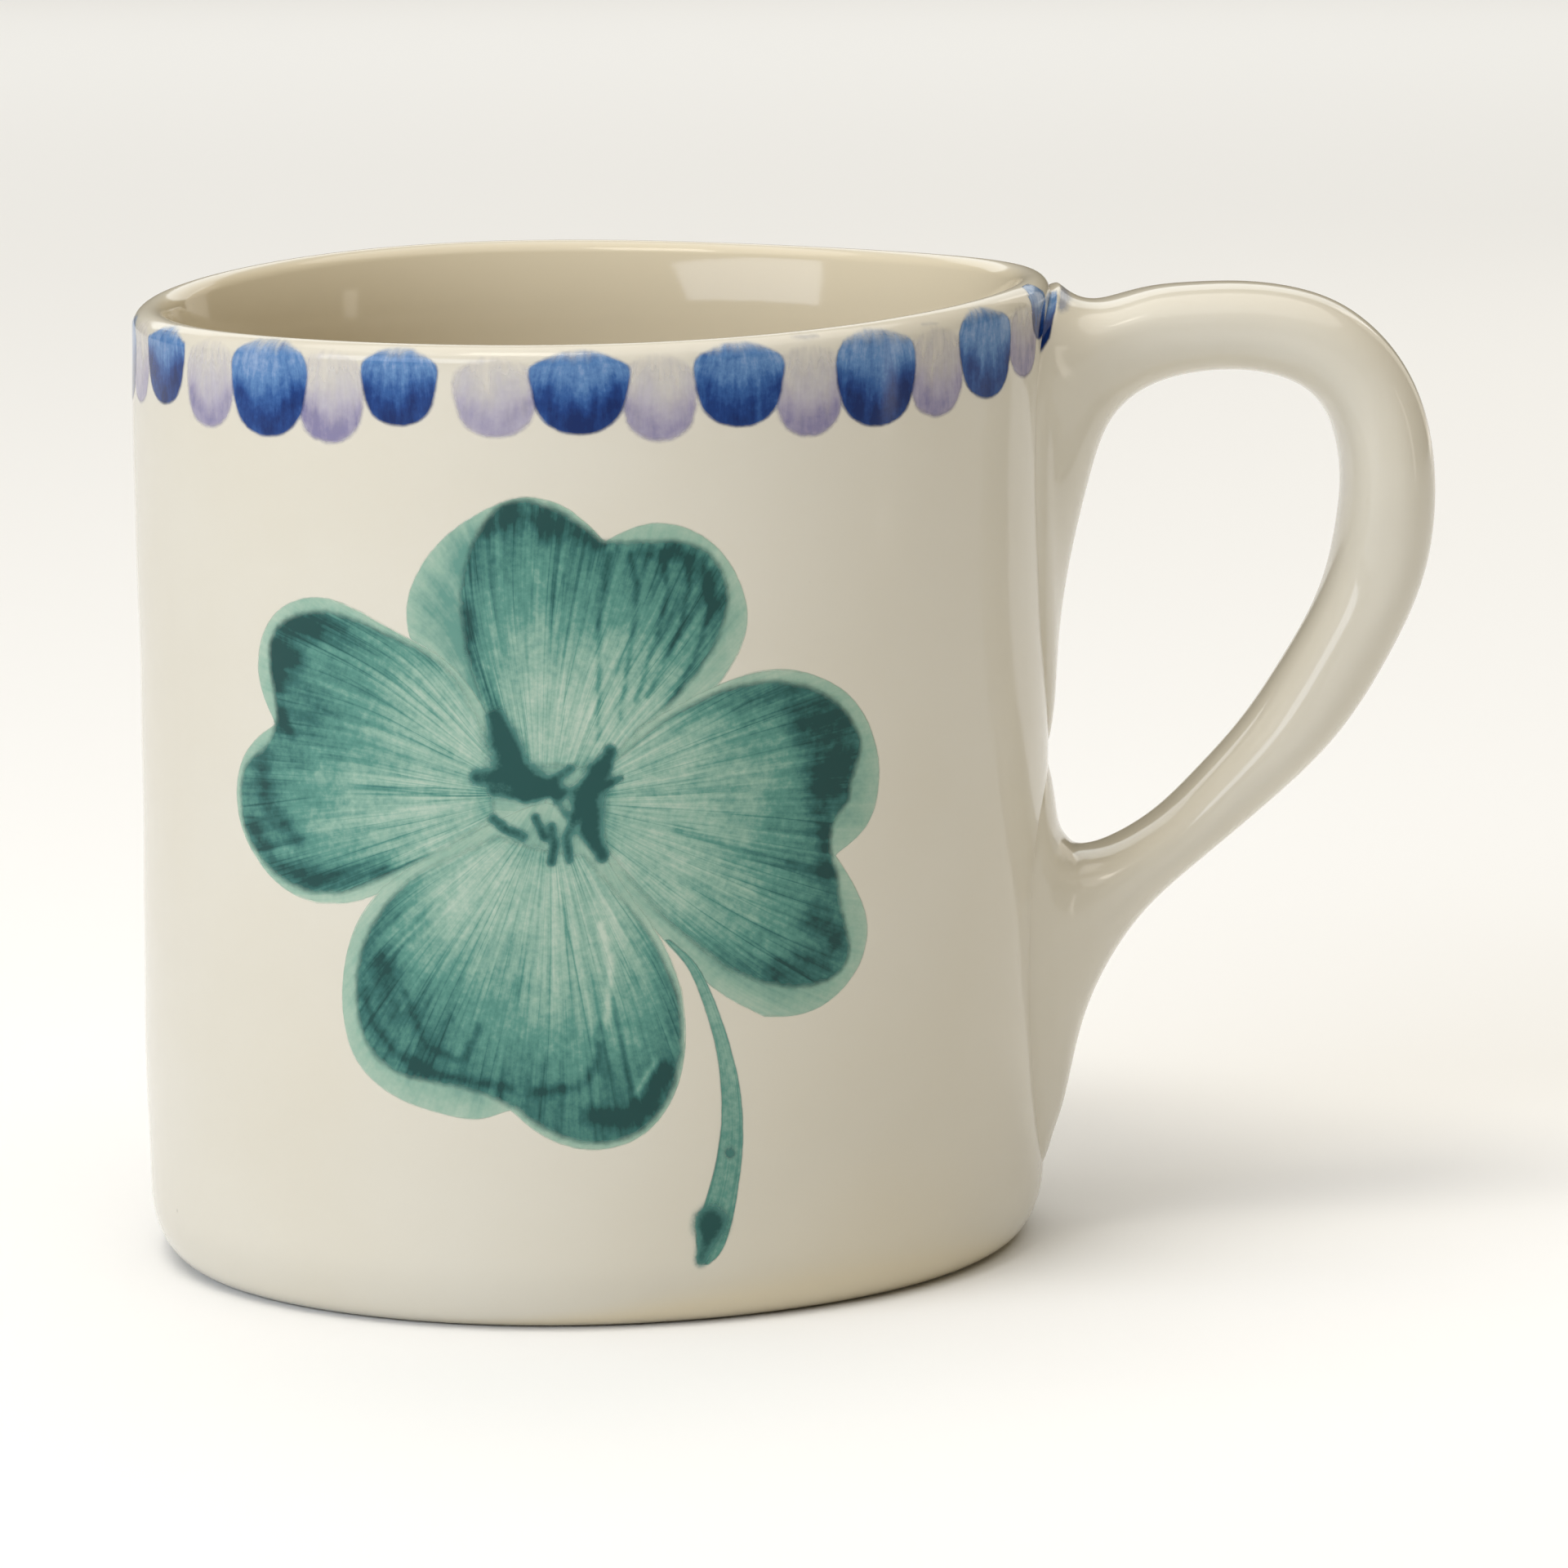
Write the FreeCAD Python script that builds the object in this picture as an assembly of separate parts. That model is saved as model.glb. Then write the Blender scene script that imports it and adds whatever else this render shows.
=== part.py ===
import FreeCAD, Part

import math
import os

# A straight-sided stoneware mug with a glossy glaze over painted decoration: a row of blue and
# lavender scallops under the lip, and a four-leaf clover on the front. Millimetres, +Z up.
# The origin is on the cup's axis, in the plane the foot stands on. The handle is on +X and the
# clover faces -Y.

# --- driving dimensions -------------------------------------------------------------------
HEIGHT = 97.0  # foot plane to the top of the lip
RIM_RADIUS = 46.0  # glazed outside, at the lip
BASE_RADIUS = 45.0  # glazed outside, just above the foot's rounding
BULGE = 0.4  # how far the wall swells beyond a straight taper, half way up
LIP_THICKNESS = 3.8  # glazed wall at the lip
BASE_THICKNESS = 4.4  # glazed wall just above the floor
LIP_ROUND = LIP_THICKNESS / 2.0
FLOOR_TOP = 6.4  # glazed floor inside the cup
COVE = 6.0  # rounding between the inner wall and the floor
FOOT_ROUND = 4.2  # rounding between the outer wall and the underside
FOOT_LIFT = 0.6  # how far the foot ring holds the body off the table
FOOT_OUTER = BASE_RADIUS - FOOT_ROUND
UNDERSIDE = 1.6  # glazed underside inside the foot ring
FOOT_INNER = 36.2
FOOT_EDGE = 0.4  # worn edge of the foot ring
GLAZE = 0.3

# Handle stations from the upper root to the lower one, in the plane y = 0. Each is a point on
# the outside of the loop, the point across from it on the inside, and half the strap's width.
# The first and last lie inside the cup's wall, and the pair next to each end is the flare
# where the joint's clay was smoothed on to the wall.
HANDLE_STATIONS = [
    (43.0, 95.9, 43.0, 74.0, 11.4),
    (47.6, 95.8, 47.6, 76.0, 10.6),
    (52.6, 95.9, 52.4, 83.6, 8.9),
    (58.4, 96.8, 58.4, 87.7, 7.8),
    (65.4, 97.2, 64.4, 88.4, 7.5),
    (73.0, 96.0, 69.6, 87.5, 7.4),
    (79.6, 91.5, 73.4, 84.9, 7.4),
    (84.0, 83.6, 75.2, 80.4, 7.4),
    (85.2, 74.0, 75.2, 74.4, 7.4),
    (83.0, 64.2, 73.6, 67.6, 7.4),
    (77.8, 54.0, 69.4, 58.8, 7.5),
    (70.2, 45.4, 63.0, 49.8, 7.6),
    (62.0, 38.2, 56.0, 43.2, 7.9),
    (54.8, 31.0, 50.4, 40.8, 8.8),
    (48.6, 20.0, 46.4, 40.0, 10.0),
    (43.0, 14.0, 42.6, 39.0, 10.4),
]
UPPER_JOINT_END = 3  # the station where the upper joint's clay ends and the strap begins
LOWER_JOINT_START = 12
FLOOR_BLOCK = 120.0  # a block this wide, as high as the floor, holds all the clay of the floor
JOINT_REACH = 60.0  # a block this big, set on a joint's end station, holds the whole joint

# Painted band. Angles run round the mug from the clover's side, -Y, towards the handle.
SCALLOPS = 18
BLUE_START = -2.0  # degrees, centre of the blue scallop nearest the clover
BLUE_SIZE = (9.4, 94.8, 91.6, 87.2)  # width, top, start of the rounding, lowest point
LAVENDER_SIZE = (9.6, 93.8, 91.0, 86.4)

# Clover outlines on the wall: (distance round the wall from the middle of the front, height).
# A leaf is two curves, one for each lobe, which meet at its base and at its notch.
CLOVER_CENTRE = (-4.0, 51.6)
LEAF_LOBES = {
    "top_leaf": (
        [(-6.5, 53.5), (-11.5, 62.5), (-17.6, 69.0), (-14.6, 77.6), (-6.0, 81.2), (1.0, 77.3)],
        [(1.0, 77.3), (6.0, 78.8), (12.0, 76.0), (14.2, 69.4), (8.0, 61.0), (-0.5, 53.5)],
    ),
    "left_leaf": (
        [(-7.5, 54.6), (-16.0, 65.6), (-27.0, 70.6), (-35.2, 66.6), (-33.7, 57.8)],
        [(-33.7, 57.8), (-39.2, 52.0), (-36.4, 44.0), (-28.0, 41.0), (-18.0, 45.6), (-7.0, 50.4)],
    ),
    "right_leaf": (
        [(-0.5, 53.5), (9.0, 61.4), (18.0, 64.0), (27.0, 58.6), (28.2, 49.6), (24.3, 45.6)],
        [(24.3, 45.6), (28.1, 38.6), (24.0, 31.4), (15.6, 30.6), (8.0, 38.0), (-0.8, 49.0)],
    ),
    "bottom_leaf": (
        [(-6.8, 49.8), (-18.0, 43.5), (-25.4, 33.0), (-20.5, 23.6), (-8.5, 22.0)],
        [(-8.5, 22.0), (-0.4, 18.3), (7.4, 23.6), (7.6, 34.4), (-1.2, 48.6)],
    ),
}
STROKE_REACH = 0.93  # the dark strokes reach this share of the way to the edge of the wash
CENTRE_SIZE = (3.6, 3.2)  # half the width and height of the dark paint where the leaves meet
STEM_SIDES = (
    [(6.9, 38.3), (11.2, 28.4), (12.1, 20.0), (11.0, 13.6), (9.4, 7.4)],
    [(9.4, 7.4), (13.2, 7.4)],
    [(13.2, 7.4), (14.6, 14.0), (14.5, 22.0), (12.6, 29.2), (6.9, 38.3)],
)
DROP_PLACE = (11.3, 10.4)  # the dark drop that ends the stem's brush stroke
DROP_SIZE = (1.5, 2.0)  # half width, half height

PRISM_NEAR = 20.0  # how far in front of the axis a paint outline's prism starts
PRISM_FAR = 60.0
SMALLEST_PATCH = 1.0  # cubic millimetres; less paint than this between two strokes is left out


# --- helpers ------------------------------------------------------------------------------
def at(radius, height):
    """A point of a profile in the plane y = 0."""
    return FreeCAD.Vector(radius, 0.0, height)


def line(start, end):
    return Part.LineSegment(start, end).toShape()


def arc(start, middle, end):
    return Part.Arc(start, middle, end).toShape()


def quarter(centre, radius, start_angle, end_angle):
    """An arc of a circle in the plane y = 0, between two angles from +X towards +Z."""
    points = []
    for angle in (start_angle, (start_angle + end_angle) / 2.0, end_angle):
        turn = math.radians(angle)
        points.append(centre + at(radius * math.cos(turn), radius * math.sin(turn)))
    return arc(*points)


def revolve(edges):
    """Turn a closed profile once round the cup's axis."""
    face = Part.Face(Part.Wire(Part.__sortEdges__(edges)))
    return face.revolve(FreeCAD.Vector(0, 0, 0), FreeCAD.Vector(0, 0, 1), 360)


def spline(points):
    curve = Part.BSplineCurve()
    curve.interpolate(points)
    return curve.toShape()


# --- the cup ------------------------------------------------------------------------------
LIP_CENTRE = at(RIM_RADIUS - LIP_ROUND, HEIGHT - LIP_ROUND)


def outside_edges(inset):
    """The glazed outside from the foot ring up to the middle of the lip, moved in by inset."""
    corner = at(FOOT_OUTER, FOOT_LIFT + FOOT_ROUND)
    wall_foot = at(BASE_RADIUS - inset, FOOT_LIFT + FOOT_ROUND)
    wall_top = at(RIM_RADIUS - inset, HEIGHT - LIP_ROUND)
    swell = (wall_foot + wall_top) / 2.0 + at(BULGE, 0.0)
    return [
        quarter(corner, FOOT_ROUND - inset, -90, 0),
        arc(wall_foot, swell, wall_top),
        quarter(LIP_CENTRE, LIP_ROUND - inset, 0, 90),
    ]


def inside_edges(inset):
    """The glazed inside from the middle of the lip down to the middle of the floor."""
    inner_radius = BASE_RADIUS - BASE_THICKNESS
    floor_edge = at(inner_radius - COVE, FLOOR_TOP - inset)
    return [
        quarter(LIP_CENTRE, LIP_ROUND - inset, 90, 180),
        line(
            at(RIM_RADIUS - LIP_THICKNESS + inset, HEIGHT - LIP_ROUND),
            at(inner_radius + inset, FLOOR_TOP + COVE),
        ),
        quarter(at(inner_radius - COVE, FLOOR_TOP + COVE), COVE + inset, 0, -90),
        line(floor_edge, at(0.0, FLOOR_TOP - inset)),
    ]


def lip_top(inset):
    return at(LIP_CENTRE.x, HEIGHT - inset)


def clay_cup():
    """Floor and wall together, as thrown, with the foot ring's seat on the underside."""
    seat = FOOT_LIFT + GLAZE
    recess = UNDERSIDE + GLAZE
    edges = outside_edges(GLAZE) + inside_edges(GLAZE)
    edges += [
        line(at(FOOT_OUTER, seat), at(FOOT_INNER, seat)),
        line(at(FOOT_INNER, seat), at(FOOT_INNER, recess)),
        line(at(FOOT_INNER, recess), at(0.0, recess)),
        line(at(0.0, recess), at(0.0, FLOOR_TOP - GLAZE)),
    ]
    return revolve(edges)


def filled_cup(inset):
    """The cup's outside as a solid with no hollow, used to trim the handle."""
    edges = outside_edges(inset)
    edges += [
        line(lip_top(inset), at(0.0, HEIGHT - inset)),
        line(at(0.0, HEIGHT - inset), at(0.0, FOOT_LIFT + inset)),
        line(at(0.0, FOOT_LIFT + inset), at(FOOT_OUTER, FOOT_LIFT + inset)),
    ]
    return revolve(edges)


def outer_coat():
    """Glaze on the outside, from the foot ring to the middle of the lip."""
    ends = [
        line(at(FOOT_OUTER, FOOT_LIFT), at(FOOT_OUTER, FOOT_LIFT + GLAZE)),
        line(lip_top(0.0), lip_top(GLAZE)),
    ]
    return revolve(outside_edges(0.0) + outside_edges(GLAZE) + ends)


def liner_coat():
    """Glaze on the inside, from the middle of the lip to the floor."""
    ends = [
        line(lip_top(0.0), lip_top(GLAZE)),
        line(at(0.0, FLOOR_TOP), at(0.0, FLOOR_TOP - GLAZE)),
    ]
    return revolve(inside_edges(0.0) + inside_edges(GLAZE) + ends)


def base_coat():
    """The disc of glaze on the underside, inside the foot ring."""
    return Part.makeCylinder(FOOT_INNER, GLAZE, FreeCAD.Vector(0, 0, UNDERSIDE))


def foot_ring():
    """The bare ring of clay that the mug stands on."""
    top = FOOT_LIFT + GLAZE
    edges = [
        line(at(FOOT_INNER, top), at(FOOT_OUTER, top)),
        line(at(FOOT_OUTER, top), at(FOOT_OUTER, FOOT_EDGE)),
        quarter(at(FOOT_OUTER - FOOT_EDGE, FOOT_EDGE), FOOT_EDGE, 0, -90),
        line(at(FOOT_OUTER - FOOT_EDGE, 0.0), at(FOOT_INNER + FOOT_EDGE, 0.0)),
        quarter(at(FOOT_INNER + FOOT_EDGE, FOOT_EDGE), FOOT_EDGE, -90, -180),
        line(at(FOOT_INNER, FOOT_EDGE), at(FOOT_INNER, top)),
    ]
    return revolve(edges)


# --- the handle ---------------------------------------------------------------------------
def station_wire(station, inset):
    """An oval section of the strap: its long axis is across the strap, along Y."""
    outer_x, outer_z, inner_x, inner_z, half_width = station
    outer = at(outer_x, outer_z)
    inner = at(inner_x, inner_z)
    centre = (outer + inner) / 2.0
    half_depth = (outer - inner).Length / 2.0 - inset
    depth_way = (outer - inner).normalize()
    width_way = FreeCAD.Vector(0, 1, 0)
    if half_depth > half_width - inset:
        end = centre + depth_way * half_depth
        side = centre + width_way * (half_width - inset)
    else:
        end = centre + width_way * (half_width - inset)
        side = centre + depth_way * half_depth
    return Part.Wire(Part.Ellipse(end, side, centre).toShape())


def handle_solid(inset):
    wires = [station_wire(station, inset) for station in HANDLE_STATIONS]
    return Part.makeLoft(wires, True, False)


def beyond_station(index, way, size):
    """A block on one side of a station's plane: way is -1 towards the upper root, 1 onwards."""
    outer_x, outer_z, inner_x, inner_z, _ = HANDLE_STATIONS[index]
    outer = at(outer_x, outer_z)
    inner = at(inner_x, inner_z)
    onwards = FreeCAD.Vector(0, 1, 0).cross((outer - inner).normalize())
    block = Part.makeBox(size, size, size, FreeCAD.Vector(-size / 2.0, -size / 2.0, 0.0))
    turn = FreeCAD.Rotation(FreeCAD.Vector(0, 0, 1), onwards * way)
    block.Placement = FreeCAD.Placement((outer + inner) / 2.0, turn)
    return block


# --- the painting -------------------------------------------------------------------------
def on_wall(point):
    """A point of the painting, as it lies in front of the mug: round the wall, then height."""
    distance, height = point
    return FreeCAD.Vector(RIM_RADIUS * math.sin(distance / RIM_RADIUS), -PRISM_FAR, height)


def prism(edges):
    """A painted outline carried back through the wall, to cut its coat of glaze."""
    face = Part.Face(Part.Wire(Part.__sortEdges__(edges)))
    return face.extrude(FreeCAD.Vector(0, PRISM_FAR - PRISM_NEAR, 0))


def scallop_prism(size, angle):
    width, top, shoulder, lowest = size
    left = -width / 2.0
    right = width / 2.0
    corners = [on_wall((left, top)), on_wall((right, top)), on_wall((right, shoulder))]
    low_left = on_wall((left, shoulder))
    edges = [
        line(corners[0], corners[1]),
        line(corners[1], corners[2]),
        arc(corners[2], on_wall((0.0, lowest)), low_left),
        line(low_left, corners[0]),
    ]
    solid = prism(edges)
    solid.rotate(FreeCAD.Vector(0, 0, 0), FreeCAD.Vector(0, 0, 1), angle)
    return solid


def scallop_row(size, start):
    step = 360.0 / SCALLOPS
    return Part.makeCompound([scallop_prism(size, start + step * i) for i in range(SCALLOPS)])


def leaf_prism(lobes, reach):
    """One leaf's outline, drawn in towards the clover's centre by the share reach."""
    edges = []
    for lobe in lobes:
        points = []
        for distance, height in lobe:
            drawn = (
                CLOVER_CENTRE[0] + reach * (distance - CLOVER_CENTRE[0]),
                CLOVER_CENTRE[1] + reach * (height - CLOVER_CENTRE[1]),
            )
            points.append(on_wall(drawn))
        edges.append(spline(points))
    edges.append(line(points[-1], edges[0].Vertexes[0].Point))
    return prism(edges)


def stem_prism():
    return prism([spline([on_wall(point) for point in side]) for side in STEM_SIDES])


def oval_prism(centre, half_width, half_height):
    middle = on_wall(centre)
    side = middle + FreeCAD.Vector(half_width, 0, 0)
    tall = middle + FreeCAD.Vector(0, 0, half_height)
    ends = (tall, side) if half_height > half_width else (side, tall)
    return prism([Part.Ellipse(ends[0], ends[1], middle).toShape()])


def paint_layers():
    """Every painted node's outline, from the brush stroke laid last to the one laid first."""
    layers = [
        ("clover_centre", oval_prism(CLOVER_CENTRE, *CENTRE_SIZE)),
        ("stem_drop", oval_prism(DROP_PLACE, *DROP_SIZE)),
    ]
    for leaf, lobes in LEAF_LOBES.items():
        layers.append((leaf + "_strokes", leaf_prism(lobes, STROKE_REACH)))
    for leaf, lobes in LEAF_LOBES.items():
        layers.append((leaf + "_wash", leaf_prism(lobes, 1.0)))
    layers.append(("clover_stem", stem_prism()))
    layers.append(("blue_scallops", scallop_row(BLUE_SIZE, BLUE_START)))
    half_step = 180.0 / SCALLOPS
    layers.append(("lavender_scallops", scallop_row(LAVENDER_SIZE, BLUE_START + half_step)))
    return layers


# --- put together -------------------------------------------------------------------------
def clay_nodes(clay, core):
    """The fired clay: floor, wall, foot ring, and the handle with the joints that hold it."""
    corner = FreeCAD.Vector(-FLOOR_BLOCK / 2.0, -FLOOR_BLOCK / 2.0, 0.0)
    below = Part.makeBox(FLOOR_BLOCK, FLOOR_BLOCK, FLOOR_TOP, corner)
    handle = core.cut(filled_cup(GLAZE))
    upper = beyond_station(UPPER_JOINT_END, -1, JOINT_REACH)
    lower = beyond_station(LOWER_JOINT_START, 1, JOINT_REACH)
    return {
        "cup_floor": clay.common(below),
        "cup_wall": clay.cut(below),
        "foot_ring": foot_ring(),
        "handle_loop": handle.cut(upper).cut(lower),
        "upper_handle_joint": handle.common(upper),
        "lower_handle_joint": handle.common(lower),
    }


def glaze_nodes(core):
    """The coats of glaze, and the painting that sank into the outer one as it melted."""
    outer = outer_coat().cut(core)
    nodes = {
        "liner_glaze": liner_coat(),
        "base_glaze": base_coat(),
        "handle_glaze": handle_solid(0.0).cut(core).cut(filled_cup(0.0)),
    }
    for name, outline in paint_layers():
        painted = outer.common(outline)
        patches = [solid for solid in painted.Solids if solid.Volume > SMALLEST_PATCH]
        nodes[name] = Part.makeCompound(patches)
        outer = outer.cut(outline)
    patches = [solid for solid in outer.Solids if solid.Volume > SMALLEST_PATCH]
    nodes["outer_glaze"] = Part.makeCompound(patches)
    return nodes


def main():
    os.makedirs("parts", exist_ok=True)
    core = handle_solid(GLAZE)
    nodes = clay_nodes(clay_cup(), core)
    nodes.update(glaze_nodes(core))
    for name, shape in nodes.items():
        shape.exportStep("parts/" + name + ".step")
        print(name, len(shape.Solids), "solids", round(shape.Volume, 1), "mm3", shape.isValid())


main()
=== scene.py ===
"""Looks for a hand-painted stoneware mug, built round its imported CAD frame.

Sizes are millimetres in the frame's axes: +Z up the cup's axis, +X towards the handle, and the
painted clover on -Y. A place on the wall is a distance round it from the middle of the front,
positive towards the handle, and a height above the table.
"""
import logging
import math
from dataclasses import dataclass, field
from enum import Enum
from typing import Callable, Sequence, Union

import bpy
import numpy as np
from mathutils import Matrix, Vector


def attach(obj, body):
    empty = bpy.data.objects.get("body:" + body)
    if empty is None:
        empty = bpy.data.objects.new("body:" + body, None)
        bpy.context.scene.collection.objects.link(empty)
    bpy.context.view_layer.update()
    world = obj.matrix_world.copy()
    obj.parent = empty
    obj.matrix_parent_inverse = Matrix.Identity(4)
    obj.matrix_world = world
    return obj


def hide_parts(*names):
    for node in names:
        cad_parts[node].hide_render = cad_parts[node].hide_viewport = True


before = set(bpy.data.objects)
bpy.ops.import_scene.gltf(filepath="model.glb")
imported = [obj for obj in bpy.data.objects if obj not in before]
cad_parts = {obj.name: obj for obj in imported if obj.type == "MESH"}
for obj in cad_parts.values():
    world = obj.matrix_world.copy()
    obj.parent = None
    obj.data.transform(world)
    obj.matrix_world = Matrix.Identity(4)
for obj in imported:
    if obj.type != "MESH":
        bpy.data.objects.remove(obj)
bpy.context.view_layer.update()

log = logging.getLogger("mug")

Points = Sequence[tuple[float, float]]
Chart = Callable[[np.ndarray, np.ndarray, float], np.ndarray]
Colour = tuple[float, float, float]
Tones = tuple[tuple[float, Colour], ...]

MM = 0.001
BODY = "root"

# The glass of the glaze, and how strongly it shines over clay and over stain.
CLEAR_IOR = 1.5
GLAZE_SHEEN = 0.30
STAIN_SHEEN = 0.20

# Points along one spline, and along one edge of a patch.
SPLINE_SAMPLES = 160
EDGE_SAMPLES = 400

# How far each coat's front stands off the glaze, and how far below it every coat's back lies.
UNDER_LIFT = 0.010
OVER_LIFT = 0.018
STROKE_LIFT = 0.026
STEM_LIFT = 0.045
DAB_LIFT = 0.050
LEAF_STEP = 0.004
FILM_BACK = -0.25

# Points along and across each kind of film.
WASH_GRID = (90, 120)
STROKE_GRID = (120, 160)
STEM_GRID = (160, 22)
DAB_GRID = (90, 90)
STRIP_GRID = (44, 40)


class Slot(Enum):
    """The record's material slots."""

    STONEWARE = "stoneware"
    CREAM_GLAZE = "cream_glaze"
    GREEN_WASH = "green_wash"
    GREEN_STROKES = "green_strokes"
    DARK_GREEN = "dark_green"
    BLUE_STAIN = "blue_stain"
    LAVENDER_STAIN = "lavender_stain"


# --- materials ------------------------------------------------------------------------------
class Signal:
    """One output of a material's nodes, on which arithmetic adds Math nodes."""

    def __init__(self, shader: "Shader", socket: bpy.types.NodeSocket) -> None:
        """Wraps socket, which belongs to shader's tree."""
        self.shader = shader
        self.socket = socket

    def _math(self, operation: str, first: "Value", second: "Value") -> "Signal":
        """Adds one Math node.

        Args:
            operation: Blender's name for it.
            first: its first operand.
            second: its second operand.

        Returns:
            The node's result.
        """
        return self.shader.node(
            "ShaderNodeMath", {"operation": operation}, {0: first, 1: second}
        )

    def __add__(self, other: "Value") -> "Signal":
        """self + other."""
        return self._math("ADD", self, other)

    def __sub__(self, other: "Value") -> "Signal":
        """self - other."""
        return self._math("SUBTRACT", self, other)

    def __rsub__(self, other: "Value") -> "Signal":
        """other - self."""
        return self._math("SUBTRACT", other, self)

    def __mul__(self, other: "Value") -> "Signal":
        """self * other."""
        return self._math("MULTIPLY", self, other)

    def __pow__(self, other: "Value") -> "Signal":
        """self ** other."""
        return self._math("POWER", self, other)

    def __abs__(self) -> "Signal":
        """The size of self without its sign."""
        return self._math("ABSOLUTE", self, 0.0)

    def top(self, other: "Value") -> "Signal":
        """The larger of self and other."""
        return self._math("MAXIMUM", self, other)

    def ease(self, low: float, high: float) -> "Signal":
        """0 below low, 1 above high, and a smooth step between; low may be the larger."""
        return self.shader.node(
            "ShaderNodeMapRange",
            {"interpolation_type": "SMOOTHSTEP"},
            {"Value": self, "From Min": low, "From Max": high},
        )


Value = Union[float, Sequence[float], Signal]


class Shader:
    """A material under construction, with one Principled surface."""

    def __init__(self, name: str) -> None:
        """Starts a material called name."""
        self.material = bpy.data.materials.new(name)
        self.material.use_nodes = True
        self.tree = self.material.node_tree
        self.surface = self.tree.nodes["Principled BSDF"]

    def node(
        self,
        kind: str,
        settings: dict[str, object],
        inputs: dict[Union[str, int], Value],
        output: Union[str, int] = 0,
    ) -> Signal:
        """Adds a node of any type.

        Args:
            kind: the node's type.
            settings: its settings, set before its sockets; "stops" are a ramp's.
            inputs: a number, colour, vector or Signal for each socket.
            output: the socket to return.

        Returns:
            That output.
        """
        node = self.tree.nodes.new(kind)
        for key, value in settings.items():
            if key == "stops":
                self._set_stops(node.color_ramp, value)
            else:
                setattr(node, key, value)
        for key, value in inputs.items():
            self.feed(node.inputs[key], value)
        return Signal(self, node.outputs[output])

    @staticmethod
    def _set_stops(ramp: bpy.types.ColorRamp, stops: Tones) -> None:
        """Gives a ramp its stops.

        Args:
            ramp: the ramp.
            stops: a place from 0 to 1 and a colour for each.
        """
        while len(ramp.elements) < len(stops):
            ramp.elements.new(1.0)
        for element, (place, colour) in zip(ramp.elements, stops):
            element.position = place
            element.color = (*colour, 1.0)

    def feed(self, socket: bpy.types.NodeSocket, value: Value) -> None:
        """Links a Signal to a socket, or sets a constant on it."""
        if isinstance(value, Signal):
            self.tree.links.new(value.socket, socket)
        elif socket.type == "RGBA" and len(value) == 3:
            socket.default_value = (*value, 1.0)
        else:
            socket.default_value = value

    def set(self, **values: Value) -> None:
        """Feeds the surface's sockets, named with _ for a space."""
        for name, value in values.items():
            self.feed(self.surface.inputs[name.replace("_", " ").title()], value)

    def gloss(self, sheen: float) -> None:
        """The clear glaze's gloss.

        Args:
            sheen: how strong it is, where 0.5 is plain glass.
        """
        self.surface.inputs["IOR"].default_value = CLEAR_IOR
        self.surface.inputs["Specular IOR Level"].default_value = sheen

    def place(self) -> Signal:
        """The place on the object, in metres."""
        return self.node("ShaderNodeTexCoord", {}, {}, "Object")

    def from_axis(self, where: Signal) -> Signal:
        """The square of a place's distance from the cup's axis."""
        flat = self.node(
            "ShaderNodeVectorMath", {"operation": "MULTIPLY"}, {0: where, 1: (1.0, 1.0, 0.0)}
        )
        return self.node(
            "ShaderNodeVectorMath", {"operation": "DOT_PRODUCT"}, {0: flat, 1: flat}, "Value"
        )

    def streaks(
        self, across: float, along: float, shift: float, detail: float, rough: float = 0.5
    ) -> Signal:
        """Noise that follows the piece's brush coordinates.

        Args:
            across: how many features the stroke is wide.
            along: how many features it is long.
            shift: moves the pattern, so that pieces differ.
            detail: how many finer octaves are added.
            rough: how strong each is beside the one before.

        Returns:
            Noise from 0 to 1.
        """
        uv = self.node("ShaderNodeUVMap", {"uv_map": "brush"}, {})
        where = self.node(
            "ShaderNodeMapping",
            {},
            {"Vector": uv, "Scale": (across, along, 1.0), "Location": (shift, shift * 0.37, shift)},
        )
        return self.noise(where, 1.0, detail, rough)

    def layer(self, name: str) -> Signal:
        """A number stored on the piece's points."""
        return self.node("ShaderNodeAttribute", {"attribute_name": name}, {}, "Fac")

    def noise(self, where: Signal, scale: float, detail: float = 2.0, rough: float = 0.5) -> Signal:
        """Smooth noise from 0 to 1 with features about 1 / scale wide."""
        return self.node(
            "ShaderNodeTexNoise",
            {},
            {"Vector": where, "Scale": scale, "Detail": detail, "Roughness": rough},
        )

    def specks(self, where: Signal, scale: float, radius: float, share: float) -> Signal:
        """Small round spots.

        Args:
            where: the texture's vector.
            scale: cells per metre; a cell holds one spot or none.
            radius: the spot's radius as a share of a cell.
            share: the share of cells that hold a spot.

        Returns:
            1 in a spot and 0 elsewhere.
        """
        settings = {"feature": "F1"}
        inputs = {"Vector": where, "Scale": scale}
        near = self.node("ShaderNodeTexVoronoi", settings, inputs, "Distance")
        tint = self.node("ShaderNodeTexVoronoi", settings, inputs, "Color")
        pick = self.node("ShaderNodeSeparateColor", {}, {0: tint}, 0)
        return near.ease(radius, radius * 0.4) * pick.ease(share, share * 0.96)

    def mix(self, first: Value, second: Value, share: Value) -> Signal:
        """A colour from first to second as share goes from 0 to 1."""
        return self.node(
            "ShaderNodeMix", {"data_type": "RGBA"}, {0: share, 6: first, 7: second}, 2
        )

    def ramp(self, share: Signal, stops: Tones) -> Signal:
        """A colour looked up in stops."""
        return self.node("ShaderNodeValToRGB", {"stops": stops}, {0: share})

    def bump(self, height: Signal, depth: float) -> None:
        """Raises the surface by height times depth, in metres."""
        self.set(
            normal=self.node(
                "ShaderNodeBump", {}, {"Height": height, "Distance": depth, "Strength": 1.0}
            )
        )


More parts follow.
